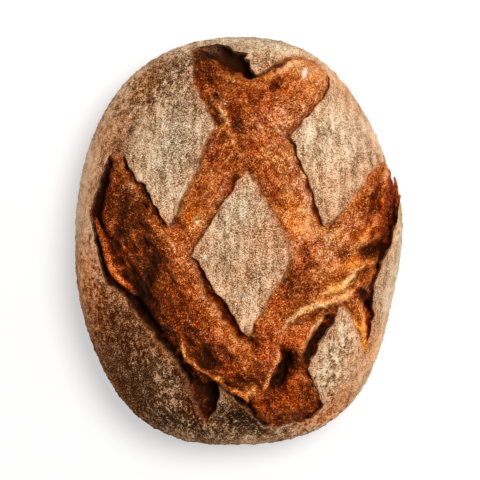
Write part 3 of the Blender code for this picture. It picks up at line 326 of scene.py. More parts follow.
# Darker dough: partly a deeper bake, partly painted shade laid into the cavities, pits, hollows and gaps.
DARK_BAKE_AND_SHADE = (
    # top
    (-50.9, 19.4, 14, 3.6, -56, 0.85), (-57.6, 31.3, 5, 2.6, -45, 0.5), (28.8, -102.9, 26, 12, 0, 0.06), (-24.0, 31.1, 30, 10, 62, 0.04), (3.7, 62.0, 40, 18, 80, 0.03), (-20.0, 104.2, 13, 9, -70, 0.95), (-23.4, 116.4, 9, 6, 0, 0.7), (-18.3, 119.1, 8, 4, 0, 0.3), (97.7, 28.2, 24, 5, 84, 0.40), (93.9, 7.9, 14, 5, 60, 0.25), (22.4, 95.7, 5.5, 4.5, 0, 0.75), (-1.9, 79.6, 16, 6, 80, 0.22), (0.6, 67.0, 20, 5, 82, 0.18),
    (0.6, 55.8, 12, 7, 60, 0.22), (9.3, 84.7, 8, 3, -60, 0.40), (-4.4, 113.5, 18, 7, -30, 0.35), (14.4, 108.1, 12, 3, 30, 0.35),
    (-14.2, 75.8, 9, 3, 110, 0.55),
    # upper bands
    (-21.5, 43.4, 28, 10, 62, 0.22), (-9.2, 58.3, 22, 14, 0, 0.12), (-0.6, 87.2, 34, 18, 0, 0.14), (31.8, 92.6, 26, 18, 0, 0.13), (14.2, 42.2, 14, 6, -58, 0.30), (22.1, 27.4, 10, 5, -50, 0.55),
    # left cavity and the band beside it
    (-75.5, 42.8, 16, 8, 85, 0.30), (-72.8, 17.7, 30, 16, 84, 0.50), (-67.6, -15.2, 34, 18, 78, 0.38), (-54.4, -17.0, 40, 7, 72, 0.40), (-57.0, -40.6, 20, 7, 122, 0.30), (-45.7, -36.7, 30, 8, -60, 0.10),
    (-63.2, 22.0, 24, 6, 62, 0.30), (-50.0, -5.9, 26, 7, -66, 0.34), (-48.7, -13.3, 24, 7, 66, 0.25), (-38.9, -50.3, 34, 16, 52, 0.48), (-38.8, -27.4, 22, 9, 60, 0.22),
    (-52.6, -50.5, 16, 7, 130, 0.2), (-36.5, -60.3, 18, 8, 40, 0.25), (-83.2, 22.2, 20, 5, 84, 0.5), (-26.5, -47.8, 24, 9, -50, 0.15),
    # lower end
    (-20.4, -69.5, 20, 8, 18, 0.42), (-4.3, -73.9, 16, 4, 10, 0.25), (1.9, -87.9, 18, 6, 8, 0.80), (-26.2, -94.4, 28, 11, 76, 0.80), (-25.0, -98.2, 16, 7, 84, 0.55), (36.0, -74.7, 9, 5, 80, 0.40), (24.8, -82.8, 13, 4, 67, 0.5), (6.8, -68.9, 22, 12, -20, 0.22), (22.8, -55.2, 18, 8, 60, 0.24), (22.3, -74.0, 8, 10, 0, 0.15),
    (33.1, -95.8, 28, 16, 10, 0.52), (33.4, -111.7, 30, 7, 0, 0.50), (33.4, -69.0, 8, 10, 0, 0.35), (-13.0, -79.0, 16, 3.6, -10, 0.22),
    (48.2, -94.8, 14, 4, 66, 0.30), (14.3, -99.5, 6, 4, 0, 0.2),
    # right
    (30.1, -21.8, 17, 5, 88, 0.50), (75.3, 16.5, 16, 8, 60, 0.14), (19.1, -47.7, 12, 8, 60, 0.10), (45.0, -28.1, 18, 10, 10, 0.36), (42.6, -28.1, 6, 5, 0, 0.25), (64.5, -9.6, 8, 4.5, -20, 0.55),
    (82.6, 24.1, 18, 5, 74, 0.40), (94.0, 18.0, 30, 5, 84, 0.50), (84.5, -5.9, 12, 7, 24, 0.60),
    (82.0, -24.1, 13, 6, 65, 0.60), (76.8, -32.8, 9, 6, -30, 0.36), (80.2, -38.5, 9, 5, -70, 0.20), (47.6, -45.4, 18, 4, 22, 0.50), 
    (42.5, -8.9, 12, 4, 66, 0.24), (56.5, -55.6, 8, 4, 60, 0.2), (71.2, -50.9, 12, 3.4, -62, 0.25),
)
# Paler, more golden dough: partly its own colour, partly painted highlights along lit ridges, ears and lips.
PALE = (
    # top
    (40.3, 107.4, 20, 8, -8, 0.55), (49.6, 95.8, 16, 9, 75, 0.62), (25.7, 106.9, 12, 3, 26, 0.45), (25.5, 84.8, 18, 10, 20, 0.20),
    (3.7, 94.9, 22, 6, -4, 0.30), (-10.5, 70.8, 9, 5, 100, 0.60), (16.7, 67.0, 22, 12, 50, 0.12), (14.2, 52.7, 12, 6, -50, 0.3),
    # upper bands
    (36.4, 42.3, 30, 6, 106, 0.40), (33.9, 20.0, 20, 8, 110, 0.35), (27.7, 15.1, 14, 5, 120, 0.40), (42.5, 8.9, 12, 6, 110, 0.60), (-10.5, 45.9, 18, 4, 56, 0.22),
    (-28.9, 12.6, 20, 7, 56, 0.30), (-38.8, 5.2, 10, 6, 60, -0.05),
    # left
    (-58.2, 25.1, 26, 4, 122, 0.60), (-45.6, 5.2, 16, 5, 122, 0.50), (-66.4, 35.1, 8, 4, 120, 0.45),
    (-33.8, -18.2, 26, 5, 122, 0.20), (-21.5, -28.0, 16, 4, -62, 0.25), (-12.9, -45.9, 34, 6, -52, 0.26), (65.9, -38.9, 5, 3, 0, 0.7), (-1.9, -61.4, 22, 7, -35, 0.34), (-76.8, 37.8, 10, 5, 80, 0.35),
    (-70.8, 0.3, 9, 6, 80, 0.30),
    # lower end
    (9.4, -98.8, 8, 4, -40, 0.5), (14.2, -77.7, 10, 6, 60, 0.05), (37.9, -84.3, 8, 2.4, 60, 0.35), (9.9, -91.7, 4, 3, 0, 0.8),
    # right
    (31.4, -4.6, 14, 6, 86, 0.50), (59.4, 2.8, 24, 12, 60, 0.35), (62.6, -15.8, 10, 5, 0, 0.50), (70.2, 16.5, 22, 6, 60, 0.12),
    (58.2, -30.7, 12, 5, 24, 0.50), (26.5, -52.7, 16, 6, 48, 0.40), (43.9, -55.4, 18, 3.4, 52, 0.55), (40.8, -47.9, 14, 5, 40, 0.20),
    (92.6, 43.4, 10, 5, 50, 0.55), (80.8, 37.9, 16, 4, 56, 0.15), (81.0, -44.9, 20, 4, 86, 0.90), (86.0, -19.8, 12, 4, 70, 0.60),
    (77.9, 6.5, 16, 5, 60, 0.40), (76.7, -12.8, 14, 2.8, 0, 0.75), (56.3, -13.3, 12, 6, 40, 0.2),
)
# Paler streaks and darker creases in the colour of the dough: points of (x, y, half width, amount); above 0 partly a
# painted highlight along a lit ridge or ear, under 0 partly painted shade in a crease.
STREAKS = (
    ((5.5, -59.5, 1.5, -0.20), (10.5, -62.9, 1.5, -0.32), (14.8, -65.8, 1.2, -0.15)),
    ((76.7, -15.9, 1.2, 0.20), (70.9, -20.2, 1.6, 0.38), (67.1, -25.2, 1.8, 0.42), (62.0, -28.8, 1.9, 0.34), (55.1, -31.2, 1.8, 0.20), (47.6, -34.3, 1.4, 0.08)),
    ((77.4, -25.3, 1.1, 0.18), (71.6, -30.2, 1.5, 0.34), (65.9, -33.9, 1.7, 0.42), (58.9, -36.9, 2.0, 0.40), (51.3, -39.3, 2.0, 0.40),
     (42.6, -41.7, 2.0, 0.38), (35.2, -45.3, 2.2, 0.32), (29.6, -50.9, 2.5, 0.28), (25.9, -58.9, 2.4, 0.16)),
    ((75.4, -21.5, 1.1, -0.15), (69.0, -27.7, 1.2, -0.24), (62.7, -32.6, 1.2, -0.18), (51.3, -36.2, 1.4, -0.12)),
    ((72.9, -32.1, 1.8, -0.26), (77.5, -33.4, 2.6, -0.34), (81.5, -32.3, 1.6, -0.10)),
    ((-35.2, -62.7, 1.2, 0.30), (-33.4, -70.9, 1.7, 0.46), (-29.1, -76.5, 1.8, 0.50), (-22.9, -80.9, 1.7, 0.48), (-16.1, -84.0, 1.4, 0.40),
     (-9.3, -89.1, 1.5, 0.44), (-3.1, -93.0, 1.7, 0.50), (2.5, -96.2, 1.9, 0.44), (5.0, -100.8, 1.2, 0.20)),
    ((4.4, -102.1, 1.0, -0.1), (6.9, -106.7, 1.5, -0.35), (11.3, -112.8, 1.6, -0.35), (15.8, -116.9, 1.0, -0.2)),
    ((-90.2, 13.5, 1.2, 0.10), (-87.4, 6.6, 1.7, 0.22), (-83.8, -2.8, 2.0, 0.30), (-81.2, -12.2, 2.0, 0.34), (-78.6, -19.0, 2.0, 0.42),
     (-74.1, -24.0, 1.9, 0.44), (-69.0, -28.3, 1.7, 0.40), (-65.8, -31.3, 1.2, 0.20)),
    ((21.0, -62.0, 1.2, 0.20), (24.4, -67.1, 1.6, 0.36), (23.8, -74.0, 1.7, 0.40), (21.1, -80.3, 1.5, 0.30), (16.8, -84.7, 1.2, 0.1)),
    ((19.2, -84.7, 1.2, 0.30), (16.8, -89.2, 1.7, 0.50), (14.3, -93.7, 1.4, 0.35)),
    ((5.6, -96.9, 1.6, 0.40), (8.7, -93.0, 1.2, 0.40)),
    ((65.3, -42.6, 1.2, 0.25), (70.5, -48.4, 1.6, 0.28), (75.2, -54.8, 1.8, 0.34), (78.7, -63.9, 1.2, 0.30)),
    ((73.6, -37.1, 1.2, 0.20), (77.0, -44.8, 1.6, 0.34), (78.8, -53.7, 1.6, 0.36), (80.0, -64.0, 1.0, 0.20)),
    ((51.4, -49.2, 1.3, 0.20), (45.8, -54.1, 1.8, 0.40), (42.1, -60.3, 1.8, 0.34), (39.0, -67.8, 1.6, 0.30), (37.8, -74.1, 1.2, 0.1)),
    ((-11.8, 87.3, 1.0, 0.26), (-10.5, 80.9, 1.3, 0.38), (-7.4, 73.9, 1.3, 0.38), (-5.6, 67.0, 1.2, 0.34), (-1.2, 56.4, 1.0, 0.28), (2.5, 50.8, 1.0, 0.2)),
    ((-6.2, 84.7, 1.6, -0.20), (-3.7, 77.1, 2.2, -0.30), (-1.9, 69.5, 2.0, -0.22), (1.2, 60.8, 1.8, -0.12)),
    ((-15.5, 82.2, 1.2, -0.15), (-13.6, 75.8, 1.8, -0.34), (-12.4, 70.2, 1.2, -0.2)),
    ((92.9, 48.0, 1.6, 0.16), (94.0, 42.2, 2.2, 0.40), (91.5, 35.0, 1.6, 0.20), (88.6, 25.4, 1.3, 0.16), (86.5, 15.3, 1.3, 0.12)),
    ((87.0, 43.2, 1.4, -0.12), (87.4, 35.5, 1.8, -0.16), (85.2, 26.6, 2.6, -0.14), (81.8, 17.8, 2.4, -0.10)),
    ((84.4, 11.6, 1.6, 0.16), (79.8, 4.1, 2.0, 0.32), (76.0, -3.4, 1.8, 0.26), (70.8, -8.4, 1.4, 0.1)),
    ((91.2, 2.8, 1.5, -0.1), (83.8, -3.4, 2.4, -0.26), (78.6, -7.8, 2.4, -0.30), (76.0, -10.3, 1.2, -0.1)),
    ((68.3, -13.3, 1.2, 0.16), (75.4, -13.4, 1.6, 0.30), (83.2, -13.5, 1.4, 0.24)),
    ((14.3, 97.6, 1.4, 0.1), (18.1, 101.5, 1.8, 0.26), (25.1, 105.6, 2.0, 0.32), (33.4, 110.5, 2.2, 0.30), (41.1, 112.3, 2.0, 0.2)),
    ((53.7, 5.2, 1.2, -0.10), (63.2, 11.5, 1.6, -0.24), (65.7, 16.4, 1.2, -0.1)),
    ((36.3, -7.1, 1.6, -0.10), (40.0, -2.2, 2.0, -0.22), (41.3, -13.2, 2.0, -0.24), (39.4, -24.3, 1.8, -0.1)),
    ((-4.3, -71.4, 1.2, -0.1), (-9.3, -75.2, 1.6, -0.2), (-19.2, -77.7, 1.6, -0.18), (-25.4, -74.0, 1.2, -0.1)),
)
WHITE = (
    (41.2, 104.7, 4.6, 1.8, 75, 1.0), (-20.6, -10.1, 2.0, 1.7, 0, 1.0), (-25.8, 11.4, 1.5, 1.2, 0, 1.0), (-8.7, 84.7, 1.2, 1.0, 0, 0.7),
    (26.1, 81.0, 1.6, 1.3, 0, 0.6), (-17.4, 87.3, 1.2, 2.2, 0, 0.5), (-22.1, -34.8, 1.8, 1.5, 0, 0.5), (7.4, 15.7, 2.6, 2.0, 0, 0.4),
)


# ------------------------------------------------------------------ fields over the plan
def axis(low, high):
    return np.arange(low, high + STEP / 2, STEP)


XS, YS, ZS = axis(-111.0, 111.0), axis(-137.5, 137.5), axis(-3.0, 104.5)
X, Y = np.meshgrid(XS, YS, indexing="ij")


def noise(wave, seed, stretch=(1.0, 1.0), breadth=0.35, shape=None):
    """Even, random relief with one dominant wavelength in mm and a spread of 1."""
    shape = shape or X.shape
    rng = np.random.default_rng(seed)
    field = np.fft.rfft2(rng.standard_normal(shape))
    fx = np.fft.fftfreq(shape[0], STEP)[:, None] * stretch[0]
    fy = np.fft.rfftfreq(shape[1], STEP)[None, :] * stretch[1]
    f = np.hypot(fx, fy) * wave
    field *= np.exp(-((np.log(f + 1e-6) / breadth) ** 2) / 2)
    out = np.fft.irfft2(field, shape)
    return out / out.std()


def eased(t):
    t = np.clip(t, 0.0, 1.0)
    return t * t * (3 - 2 * t)


def mixed(a, b, t):
    return a + (b - a) * t


def to_segments(points, x, y):
    """Distance to a chain of points, and the points' other numbers blended along it."""
    best = np.full(x.shape, 1e9)
    extra = [np.zeros(x.shape) for _ in points[0][2:]]
    for a, b in zip(points, points[1:]):
        ux, uy = b[0] - a[0], b[1] - a[1]
        t = np.clip(((x - a[0]) * ux + (y - a[1]) * uy) / (ux * ux + uy * uy), 0, 1)
        gap = np.hypot(x - a[0] - ux * t, y - a[1] - uy * t)
        near = gap < best
        best[near] = gap[near]
        for field, p, q in zip(extra, a[2:], b[2:]):
            field[near] = (p + (q - p) * t)[near]
    return best, extra


def signed(points, x, y):
    """Distance to a closed outline, above 0 inside it."""
    gap, _ = to_segments(list(points) + [points[0]], x, y)
    inside = np.zeros(x.shape, bool)
    for (ax, ay), (bx, by) in zip(points, list(points[1:]) + [points[0]]):
        if ay == by:
            continue
        across = (ay > y) != (by > y)
        inside ^= across & (x < (bx - ax) * (y - ay) / (by - ay) + ax)
    return np.where(inside, gap, -gap)


def smooth_chain(points, steps=5):
    """Catmull-Rom points through a chain, all their numbers together."""
    p = np.array([points[0], *points, points[-1]], float)
    out = []
    for i in range(1, len(p) - 2):
        a, b, c, d = p[i - 1], p[i], p[i + 1], p[i + 2]
        for t in np.arange(steps) / steps:
            out.append(0.5 * (2 * b + (c - a) * t + (2 * a - 5 * b + 4 * c - d) * t**2
                              + (3 * b - a - 3 * c + d) * t**3))
    out.append(p[-1])
    return [tuple(q) for q in out]


def patches(table, x, y):
    """Sum of soft oval patches."""
    total = np.zeros(x.shape)
    for cx, cy, along, across, degrees, amount in table:
        a = math.radians(degrees)
        u = ((x - cx) * math.cos(a) + (y - cy) * math.sin(a)) / along
        v = (-(x - cx) * math.sin(a) + (y - cy) * math.cos(a)) / across
        total += amount * np.exp(-(u * u + v * v))
    return total


def plan_radius(angle):
    c, s = np.abs(np.cos(angle)) / HALF_WIDTH, np.abs(np.sin(angle)) / HALF_LENGTH
    base = (c**PLAN_POWER + s**PLAN_POWER) ** (-1 / PLAN_POWER)
    share = PLAN_MEAN
    for k, (on_cos, on_sin) in enumerate(PLAN_WAVES, 1):
        share = share + on_cos * np.cos(k * angle) + on_sin * np.sin(k * angle)
    return base * share


def grained(wave, seed, degrees, length):
    """Random relief drawn out along one direction."""
    rng = np.random.default_rng(seed)
    field = np.fft.rfft2(rng.standard_normal(X.shape))
    fx = np.fft.fftfreq(X.shape[0], STEP)[:, None]
    fy = np.fft.rfftfreq(X.shape[1], STEP)[None, :]
    a = math.radians(degrees)
    along, across = fx * math.cos(a) + fy * math.sin(a), -fx * math.sin(a) + fy * math.cos(a)
    f = np.hypot(along * length, across) * wave
    field *= np.exp(-((np.log(f + 1e-6) / 0.4) ** 2) / 2)
    out = np.fft.irfft2(field, X.shape)
    return out / out.std()


# edges of the skin wander a little, as torn dough does
WX = X + 0.42 * noise(10, 11, breadth=0.3) + 0.05 * noise(4, 12)
WY = Y + 0.42 * noise(10, 13, breadth=0.3) + 0.05 * noise(4, 14)
outline = [p for run in OPENING.values() for p in run]
open_far = np.minimum(signed(outline, WX, WY), -signed(LOZENGE, WX, WY))

# which way each edge of the skin faces: -1 where the opening lies on its -X side
plain = np.minimum(signed(outline, X, Y), -signed(LOZENGE, X, Y))
gx, gy = np.gradient(plain, STEP)
size = np.hypot(gx, gy) + 1e-6
facing = gx / size


def blurred(field, radius):
    """Gaussian blur over the plan, radius in mm."""
    fx = np.fft.fftfreq(field.shape[0], STEP)[:, None]
    fy = np.fft.rfftfreq(field.shape[1], STEP)[None, :]
    return np.fft.irfft2(np.fft.rfft2(field) * np.exp(-2 * (np.pi * radius) ** 2 * (fx**2 + fy**2)), field.shape)


facing = blurred(facing, 1.6)
raised = eased((0.25 - facing) / 0.7)            # 1 along edges that stand proud

# ------------------------------------------------------------------ the risen dough over the dome
gap_width = np.zeros(X.shape)
for points in GAPS.values():
    along, (wide,) = to_segments(smooth_chain(points), X, Y)
    gap_width = np.maximum(gap_width, wide * np.exp(-((np.clip(along - 5.0, 0, None) / 3.5) ** 2)))
gap_width = gap_width * (1 + 0.16 * noise(7, 24))
flush = np.clip(patches(FLUSH, X, Y), 0, 1)
raised = raised * (1 - flush)
gap_width = gap_width * (1 - flush)
stands = np.maximum(raised, np.clip(gap_width / 1.6, 0, 1))
edge_depth = mixed(1.0, 3.0 + 0.5 * gap_width, stands)
from_edge = open_far - 0.92 * gap_width
# where dough runs under a lifted edge of skin; the shader paints it darker there, partly a darker bake and partly
# painted shade
gap_shade = eased((gap_width * 1.02 - open_far) / 1.3) * np.clip((gap_width - 0.6) / 1.2, 0, 1)
roll = 0.5 * (1 - (1 - np.clip(from_edge / 3.6, 0, 1)) ** 2) + 0.5 * (1 - (1 - np.clip(from_edge / 12.5, 0, 1)) ** 2)
dough = -edge_depth + (edge_depth + 3.3) * roll
inward = eased((-open_far - 1.0) / 3.5)
dough = np.where(open_far < 0, mixed(-edge_depth, -(SKIN - 0.7), inward), dough)

folds = np.zeros(X.shape)
under = np.zeros(X.shape)
FX, FY = X + 0.9 * noise(11, 21) + 0.35 * noise(4, 22), Y + 0.9 * noise(11, 23) + 0.35 * noise(4, 24)
for name, points in FOLDS.items():
    gap, (wide, high) = to_segments(smooth_chain(points), FX, FY)
    shape = high * np.exp(-((gap / np.maximum(wide, 0.4)) ** 2))
    if name in REACH_UNDER:
        under += shape
    else:
        folds += shape * (1.4 if high.mean() > 0 else 1.15)
inside = eased((open_far + 0.5) / 2.0)
dough = dough + folds * inside + under
# which of the two ways the dough was drawn: the slashes run as \\ and as / over the loaf
down_right = eased(0.5 + patches(DRAWN, X, Y))
drawn = mixed(grained(5.0, 35, 50, 3.2), grained(5.0, 36, -56, 3.2), down_right)
fine_drawn = mixed(grained(2.6, 37, 50, 2.6), grained(2.6, 38, -56, 2.6), down_right)
big_drawn = mixed(grained(9.0, 45, 52, 3.0), grained(9.0, 46, -58, 3.0), down_right)
veins = np.exp(-((drawn / 0.30) ** 2)) * eased(0.5 + 0.7 * noise(13, 39))
fine_veins = np.exp(-((fine_drawn / 0.33) ** 2)) * eased(0.45 + 0.7 * noise(9, 40))
grain = 0.20 * noise(2.3, 31) + 0.24 * noise(4.6, 32) + 0.50 * noise(12, 33) + 0.42 * drawn + 0.75 * big_drawn
grain = grain + 0.75 * veins + 0.40 * fine_veins - 0.5
dough = dough + grain * inside
lumps = np.clip(noise(3.2, 34) - 0.9, 0, 2) * 0.35
dough = dough + lumps * inside

# ------------------------------------------------------------------ the skin over the dome
skin = 0.20 * noise(9, 41) + 0.08 * noise(3, 42) + 0.14 * noise(3.4, 43, (1.0, 0.28)) + 0.16 * noise(7, 44, (1.0, 0.25))
skin = skin + (0.9 + 0.10 * gap_width) * stands * np.exp(np.minimum(open_far, 0) / 3.0) * (open_far < 2)
skin = skin - 0.5 * (1 - raised) * np.exp(np.minimum(open_far, 0) / 2.0) * (open_far < 2)
dome = patches(DOME, X, Y)

# ------------------------------------------------------------------ the solid field
F = np.float32
angle = np.arctan2(Y, X)
rho = (np.hypot(X, Y) / plan_radius(angle)).astype(F)
z = ZS.astype(F)[None, None, :]
up = np.clip((z - WAIST) / (HEIGHT - WAIST), 0, None) ** TOP_POWERS[1]
down = np.clip((WAIST - z) / FOOT_DEPTH, 0, None) ** FOOT_POWERS[1]
above = (z > WAIST)
G = np.where(above, (rho ** TOP_POWERS[0])[..., None] + up, (rho ** FOOT_POWERS[0])[..., None] + down).astype(F)
# as a radius-like measure, so that the field is even from the middle out
G = np.where(above, G ** (1 / TOP_POWERS[0]), G ** (1 / FOOT_POWERS[0])).astype(F) - 1
a, b, c = np.gradient(G, STEP)
slope = np.sqrt(a * a + b * b + c * c)
del a, b, c
f = G / np.maximum(slope, 0.004)
del G, slope
f -= (dome * 1.0).astype(F)[..., None] * eased((z - 12) / 20)

lower_shut = patches(LOW_SHUT, X, Y)
high = eased((z - (SHUT_Z - 3) + lower_shut[..., None]) / 12).astype(F)         # relief of the slashes fades down the sides
shut = (z - SHUT_Z + lower_shut[..., None]).astype(F)
skin3 = f - skin.astype(F)[..., None] * eased((z - 20) / 25).astype(F)
far3 = np.minimum(open_far.astype(F)[..., None], shut)
sheet = np.maximum(np.maximum(skin3, -skin3 - SKIN), far3)
body = f - (mixed(-(SKIN - 0.7), dough, 1.0).astype(F)[..., None] * high - (SKIN - 0.7) * (1 - high))
k = 0.35
h = np.clip(0.5 + 0.5 * (body - sheet) / k, 0, 1)
solid = mixed(body, sheet, h) - k * h * (1 - h)
del sheet, body, h, skin3, far3

# ------------------------------------------------------------------ strands
def dome_z(x, y):
    """Height of the even dome at x, y."""
    t = math.atan2(y, x)
    r = min(math.hypot(x, y) / float(plan_radius(t)), 0.9999)
    return WAIST + (HEIGHT - WAIST) * (1 - r ** TOP_POWERS[0]) ** (1 / TOP_POWERS[1])


strand_tint = np.zeros(X.shape)
for name, points in STRANDS.items():
    chain = [(x, y, r, dome_z(x, y) + over) for x, y, r, over in smooth_chain(points, 6)]
    for (ax, ay, ar, az), (bx, by, br, bz) in zip(chain, chain[1:]):
        reach = max(ar, br) + 2.5
        i0, i1 = np.searchsorted(XS, [min(ax, bx) - reach, max(ax, bx) + reach])
        j0, j1 = np.searchsorted(YS, [min(ay, by) - reach, max(ay, by) + reach])
        k0, k1 = np.searchsorted(ZS, [min(az, bz) - reach, max(az, bz) + reach])
        gx3 = XS[i0:i1, None, None] - ax
        gy3 = YS[None, j0:j1, None] - ay
        gz3 = ZS[None, None, k0:k1] - az
        ux, uy, uz = bx - ax, by - ay, bz - az
        length = ux * ux + uy * uy + uz * uz
        t = np.clip((gx3 * ux + gy3 * uy + gz3 * uz) / length, 0, 1)
        gap = np.sqrt((gx3 - ux * t) ** 2 + (gy3 - uy * t) ** 2 + (gz3 - uz * t) ** 2) - (ar + (br - ar) * t)
        part = solid[i0:i1, j0:j1, k0:k1]
        kk = 0.8
        hh = np.clip(0.5 + 0.5 * (part - gap) / kk, 0, 1)
        solid[i0:i1, j0:j1, k0:k1] = mixed(part, gap, hh) - kk * hh * (1 - hh)

# flat base, with its edge a little rounded
base = -z + np.zeros_like(solid)
kk = 2.0
hh = np.clip(0.5 - 0.5 * (solid - base) / kk, 0, 1)
solid = mixed(solid, base, hh) + kk * hh * (1 - hh)
del base, hh

# ------------------------------------------------------------------ mesh
grid = openvdb.FloatGrid(background=10.0)
grid.copyFromArray(np.ascontiguousarray(np.clip(solid, -6, 6), dtype=F), tolerance=0)
points, triangles, quads = grid.convertToPolygons(isovalue=0.0, adaptivity=0.0)
del solid, grid, f
points = points.astype(np.float64) * STEP + np.array([XS[0], YS[0], ZS[0]])
quads = quads[:, ::-1].astype(np.int64)
triangles = triangles[:, ::-1].astype(np.int64)
faces = np.concatenate([triangles, quads[:, [0, 1, 2]], quads[:, [0, 2, 3]]])


def main_body(count, faces):
    """Faces of the largest connected piece."""
    label = np.arange(count)
    a = np.concatenate([faces[:, 0], faces[:, 1]])
    b = np.concatenate([faces[:, 1], faces[:, 2]])
    while True:
        low = np.minimum(label[a], label[b])
        new = label.copy()
        np.minimum.at(new, a, low)
        np.minimum.at(new, b, low)
        new = np.minimum(new, new[new])
        while True:
            jumped = new[new]
            if np.array_equal(jumped, new):
                break
            new = jumped
        if np.array_equal(new, label):
            break
        label = new
    of_face = label[faces[:, 0]]
    names, counts = np.unique(of_face, return_counts=True)
    return faces[of_face == names[counts.argmax()]]


faces = main_body(len(points), faces)
used, faces = np.unique(faces, return_inverse=True)
faces = faces.reshape(-1, 3)
points = points[used]


def mesh_from(points, faces, name):
    mesh = bpy.data.meshes.new(name)
    mesh.vertices.add(len(points))
    mesh.vertices.foreach_set("co", (points * 0.001).astype(np.float32).ravel())
    mesh.loops.add(len(faces) * 3)
    mesh.loops.foreach_set("vertex_index", faces.astype(np.int32).ravel())
    mesh.polygons.add(len(faces))
    mesh.polygons.foreach_set("loop_start", np.arange(0, len(faces) * 3, 3, dtype=np.int32))
    mesh.update(calc_edges=True)
    mesh.validate()
    return mesh


def outward(points, faces):
    a, b, c = points[faces[:, 0]], points[faces[:, 1]], points[faces[:, 2]]
    return np.einsum("ij,ij->i", a, np.cross(b, c)).sum() > 0


if not outward(points, faces):
    faces = faces[:, ::-1]
loaf = bpy.data.objects.new("loaf_crust", mesh_from(points, faces, "loaf_crust"))
bpy.context.scene.collection.objects.link(loaf)
if len(faces) > FACES:
    thin = loaf.modifiers.new("thin_out", "DECIMATE")
    thin.ratio = FACES / len(faces)
    thin.use_collapse_triangulate = True
    bpy.context.view_layer.update()
    graph = bpy.context.evaluated_depsgraph_get()
    fewer = bpy.data.meshes.new_from_object(loaf.evaluated_get(graph))
    loaf.modifiers.clear()
    loaf.data = fewer
mesh = loaf.data
mesh.name = "loaf_crust"
mesh.shade_smooth()
print("loaf faces", len(mesh.polygons), "from", len(faces))

co = np.empty(len(mesh.vertices) * 3, np.float32)
mesh.vertices.foreach_get("co", co)
co = co.reshape(-1, 3).astype(np.float64) * 1000
normal = np.empty(len(mesh.vertices) * 3, np.float32)
mesh.vertex_normals.foreach_get("vector", normal)
normal = normal.reshape(-1, 3).astype(np.float64)


def sampled(field, x, y):
    """A field over the plan, read between its grid points."""
    u = np.clip((x - XS[0]) / STEP, 0, len(XS) - 1.001)
    v = np.clip((y - YS[0]) / STEP, 0, len(YS) - 1.001)
    i, j = u.astype(int), v.astype(int)
    s, t = u - i, v - j
    return (field[i, j] * (1 - s) * (1 - t) + field[i + 1, j] * s * (1 - t)
            + field[i, j + 1] * (1 - s) * t + field[i + 1, j + 1] * s * t)


def attribute(name, values):
    made = mesh.attributes.new(name, "FLOAT", "POINT")
    made.data.foreach_set("value", np.asarray(values, np.float32))


px, py, pz = co.T
shut_here = SHUT_Z - patches(LOW_SHUT, px, py)
cut = np.minimum(sampled(open_far, px, py), (pz - shut_here) * 0.8)
# how far below the even dome a point lies, along the dome's own slope; the shader darkens and calms the dough colour
# with it, painted shade in the hollows
r_here = np.hypot(px, py) / plan_radius(np.arctan2(py, px))
top_z = WAIST + (HEIGHT - WAIST) * np.clip(1 - np.clip(r_here, 0, 1) ** TOP_POWERS[0], 1e-4, 1) ** (1 / TOP_POWERS[1])
t_slope = 1 / np.sqrt(1 + ((HEIGHT - WAIST) / HALF_WIDTH * np.clip(r_here, 0, 0.97) * 1.15
                           / np.sqrt(np.clip(1 - np.clip(r_here, 0, 0.97) ** TOP_POWERS[0], 0.05, 1))) ** 2)
deep = np.clip((top_z - pz) * t_slope, 0, 20) * (pz > WAIST + 4)
deep = np.where(r_here < 0.995, deep, 0)
strand_gap = np.full(len(px), 9.0)
for name, points_ in STRANDS.items():
    chain = smooth_chain(points_, 3)
    gap, (radius, over) = to_segments(chain, px, py)
    tops = np.abs(pz - top_z - over)
    gap = np.where(tops < 5, gap - radius, 9)
    strand_gap = np.minimum(strand_gap, gap)
on_strand = eased((0.9 - strand_gap) / 0.9)
cut = np.where((on_strand > 0.5) & (pz > 32), np.maximum(cut, 1.0), cut)
# heights of the folds; the shader lightens fold tops and darkens grooves with it, a painted highlight and painted shade
ridge = sampled(np.clip(folds, -6, 4), px, py)
attribute("cut", cut)
attribute("deep", deep)
attribute("ridge", ridge)
attribute("strand", on_strand)
# towards the silhouette the skin gets more flour and whitish dust: partly real flour, partly a painted rim light for
# the bright edge the soft surrounding light gives
rim = eased((r_here - 0.88) / 0.10) * (1 - np.clip(patches(((-62.5, -100.7, 60, 26, 135, 1.0), (-15.3, -127.0, 40, 14, 0, 0.8), (61.3, -111.4, 50, 18, 35, 1.0)), px, py), 0, 1))
# flour, whose broad patches also carry painted shade and light, plus the painted rim light
attribute("flour", patches(FLOUR_AND_PAINTED_LIGHT, px, py) + 0.22 * rim)
# darker dough for a deeper bake and for painted shade in hollows and gaps
attribute("dark_bake_and_shade", patches(DARK_BAKE_AND_SHADE, px, py))
# paler dough, partly painted highlights on lit ridges
attribute("pale", patches(PALE, px, py))
attribute("white", patches(WHITE, px, py))
attribute("orange", patches(ORANGE, px, py))
attribute("grey", patches(GREY, px, py))
# whitish dust, partly painted sheen and rim light towards the silhouette
attribute("dust", patches(DUST_AND_SHEEN, px, py) + 0.30 * rim)
# paler streaks and darker creases in the dough, partly painted highlights on ridges and painted shade in creases
streak = np.zeros(len(px))
sx, sy = px + sampled(FX - X, px, py) * 0.5, py + sampled(FY - Y, px, py) * 0.5
for points_ in STREAKS:
    gap, (wide, amount) = to_segments(smooth_chain(points_, 4), sx, sy)
    streak += amount * np.exp(-((gap / np.maximum(wide, 0.4)) ** 2))
attribute("streak", streak)
attribute("red", np.clip(patches(RED, px, py), -1, 1.4))
attribute("gold", np.clip(patches(GOLD, px, py), -1, 1))
attribute("flaky", np.clip(patches(FLAKY, px, py), 0, 1.6))
# painted shade in the gaps under the skin's edges, partly their darker bake
attribute("gap", sampled(gap_shade, px, py) * (pz > SHUT_Z))
attribute("drawn", sampled(0.6 * big_drawn + 0.5 * drawn, px, py))
attribute("raised", sampled(raised, px, py))
attribute("vein", sampled(np.clip(veins + 0.6 * fine_veins, 0, 1.2), px, py))

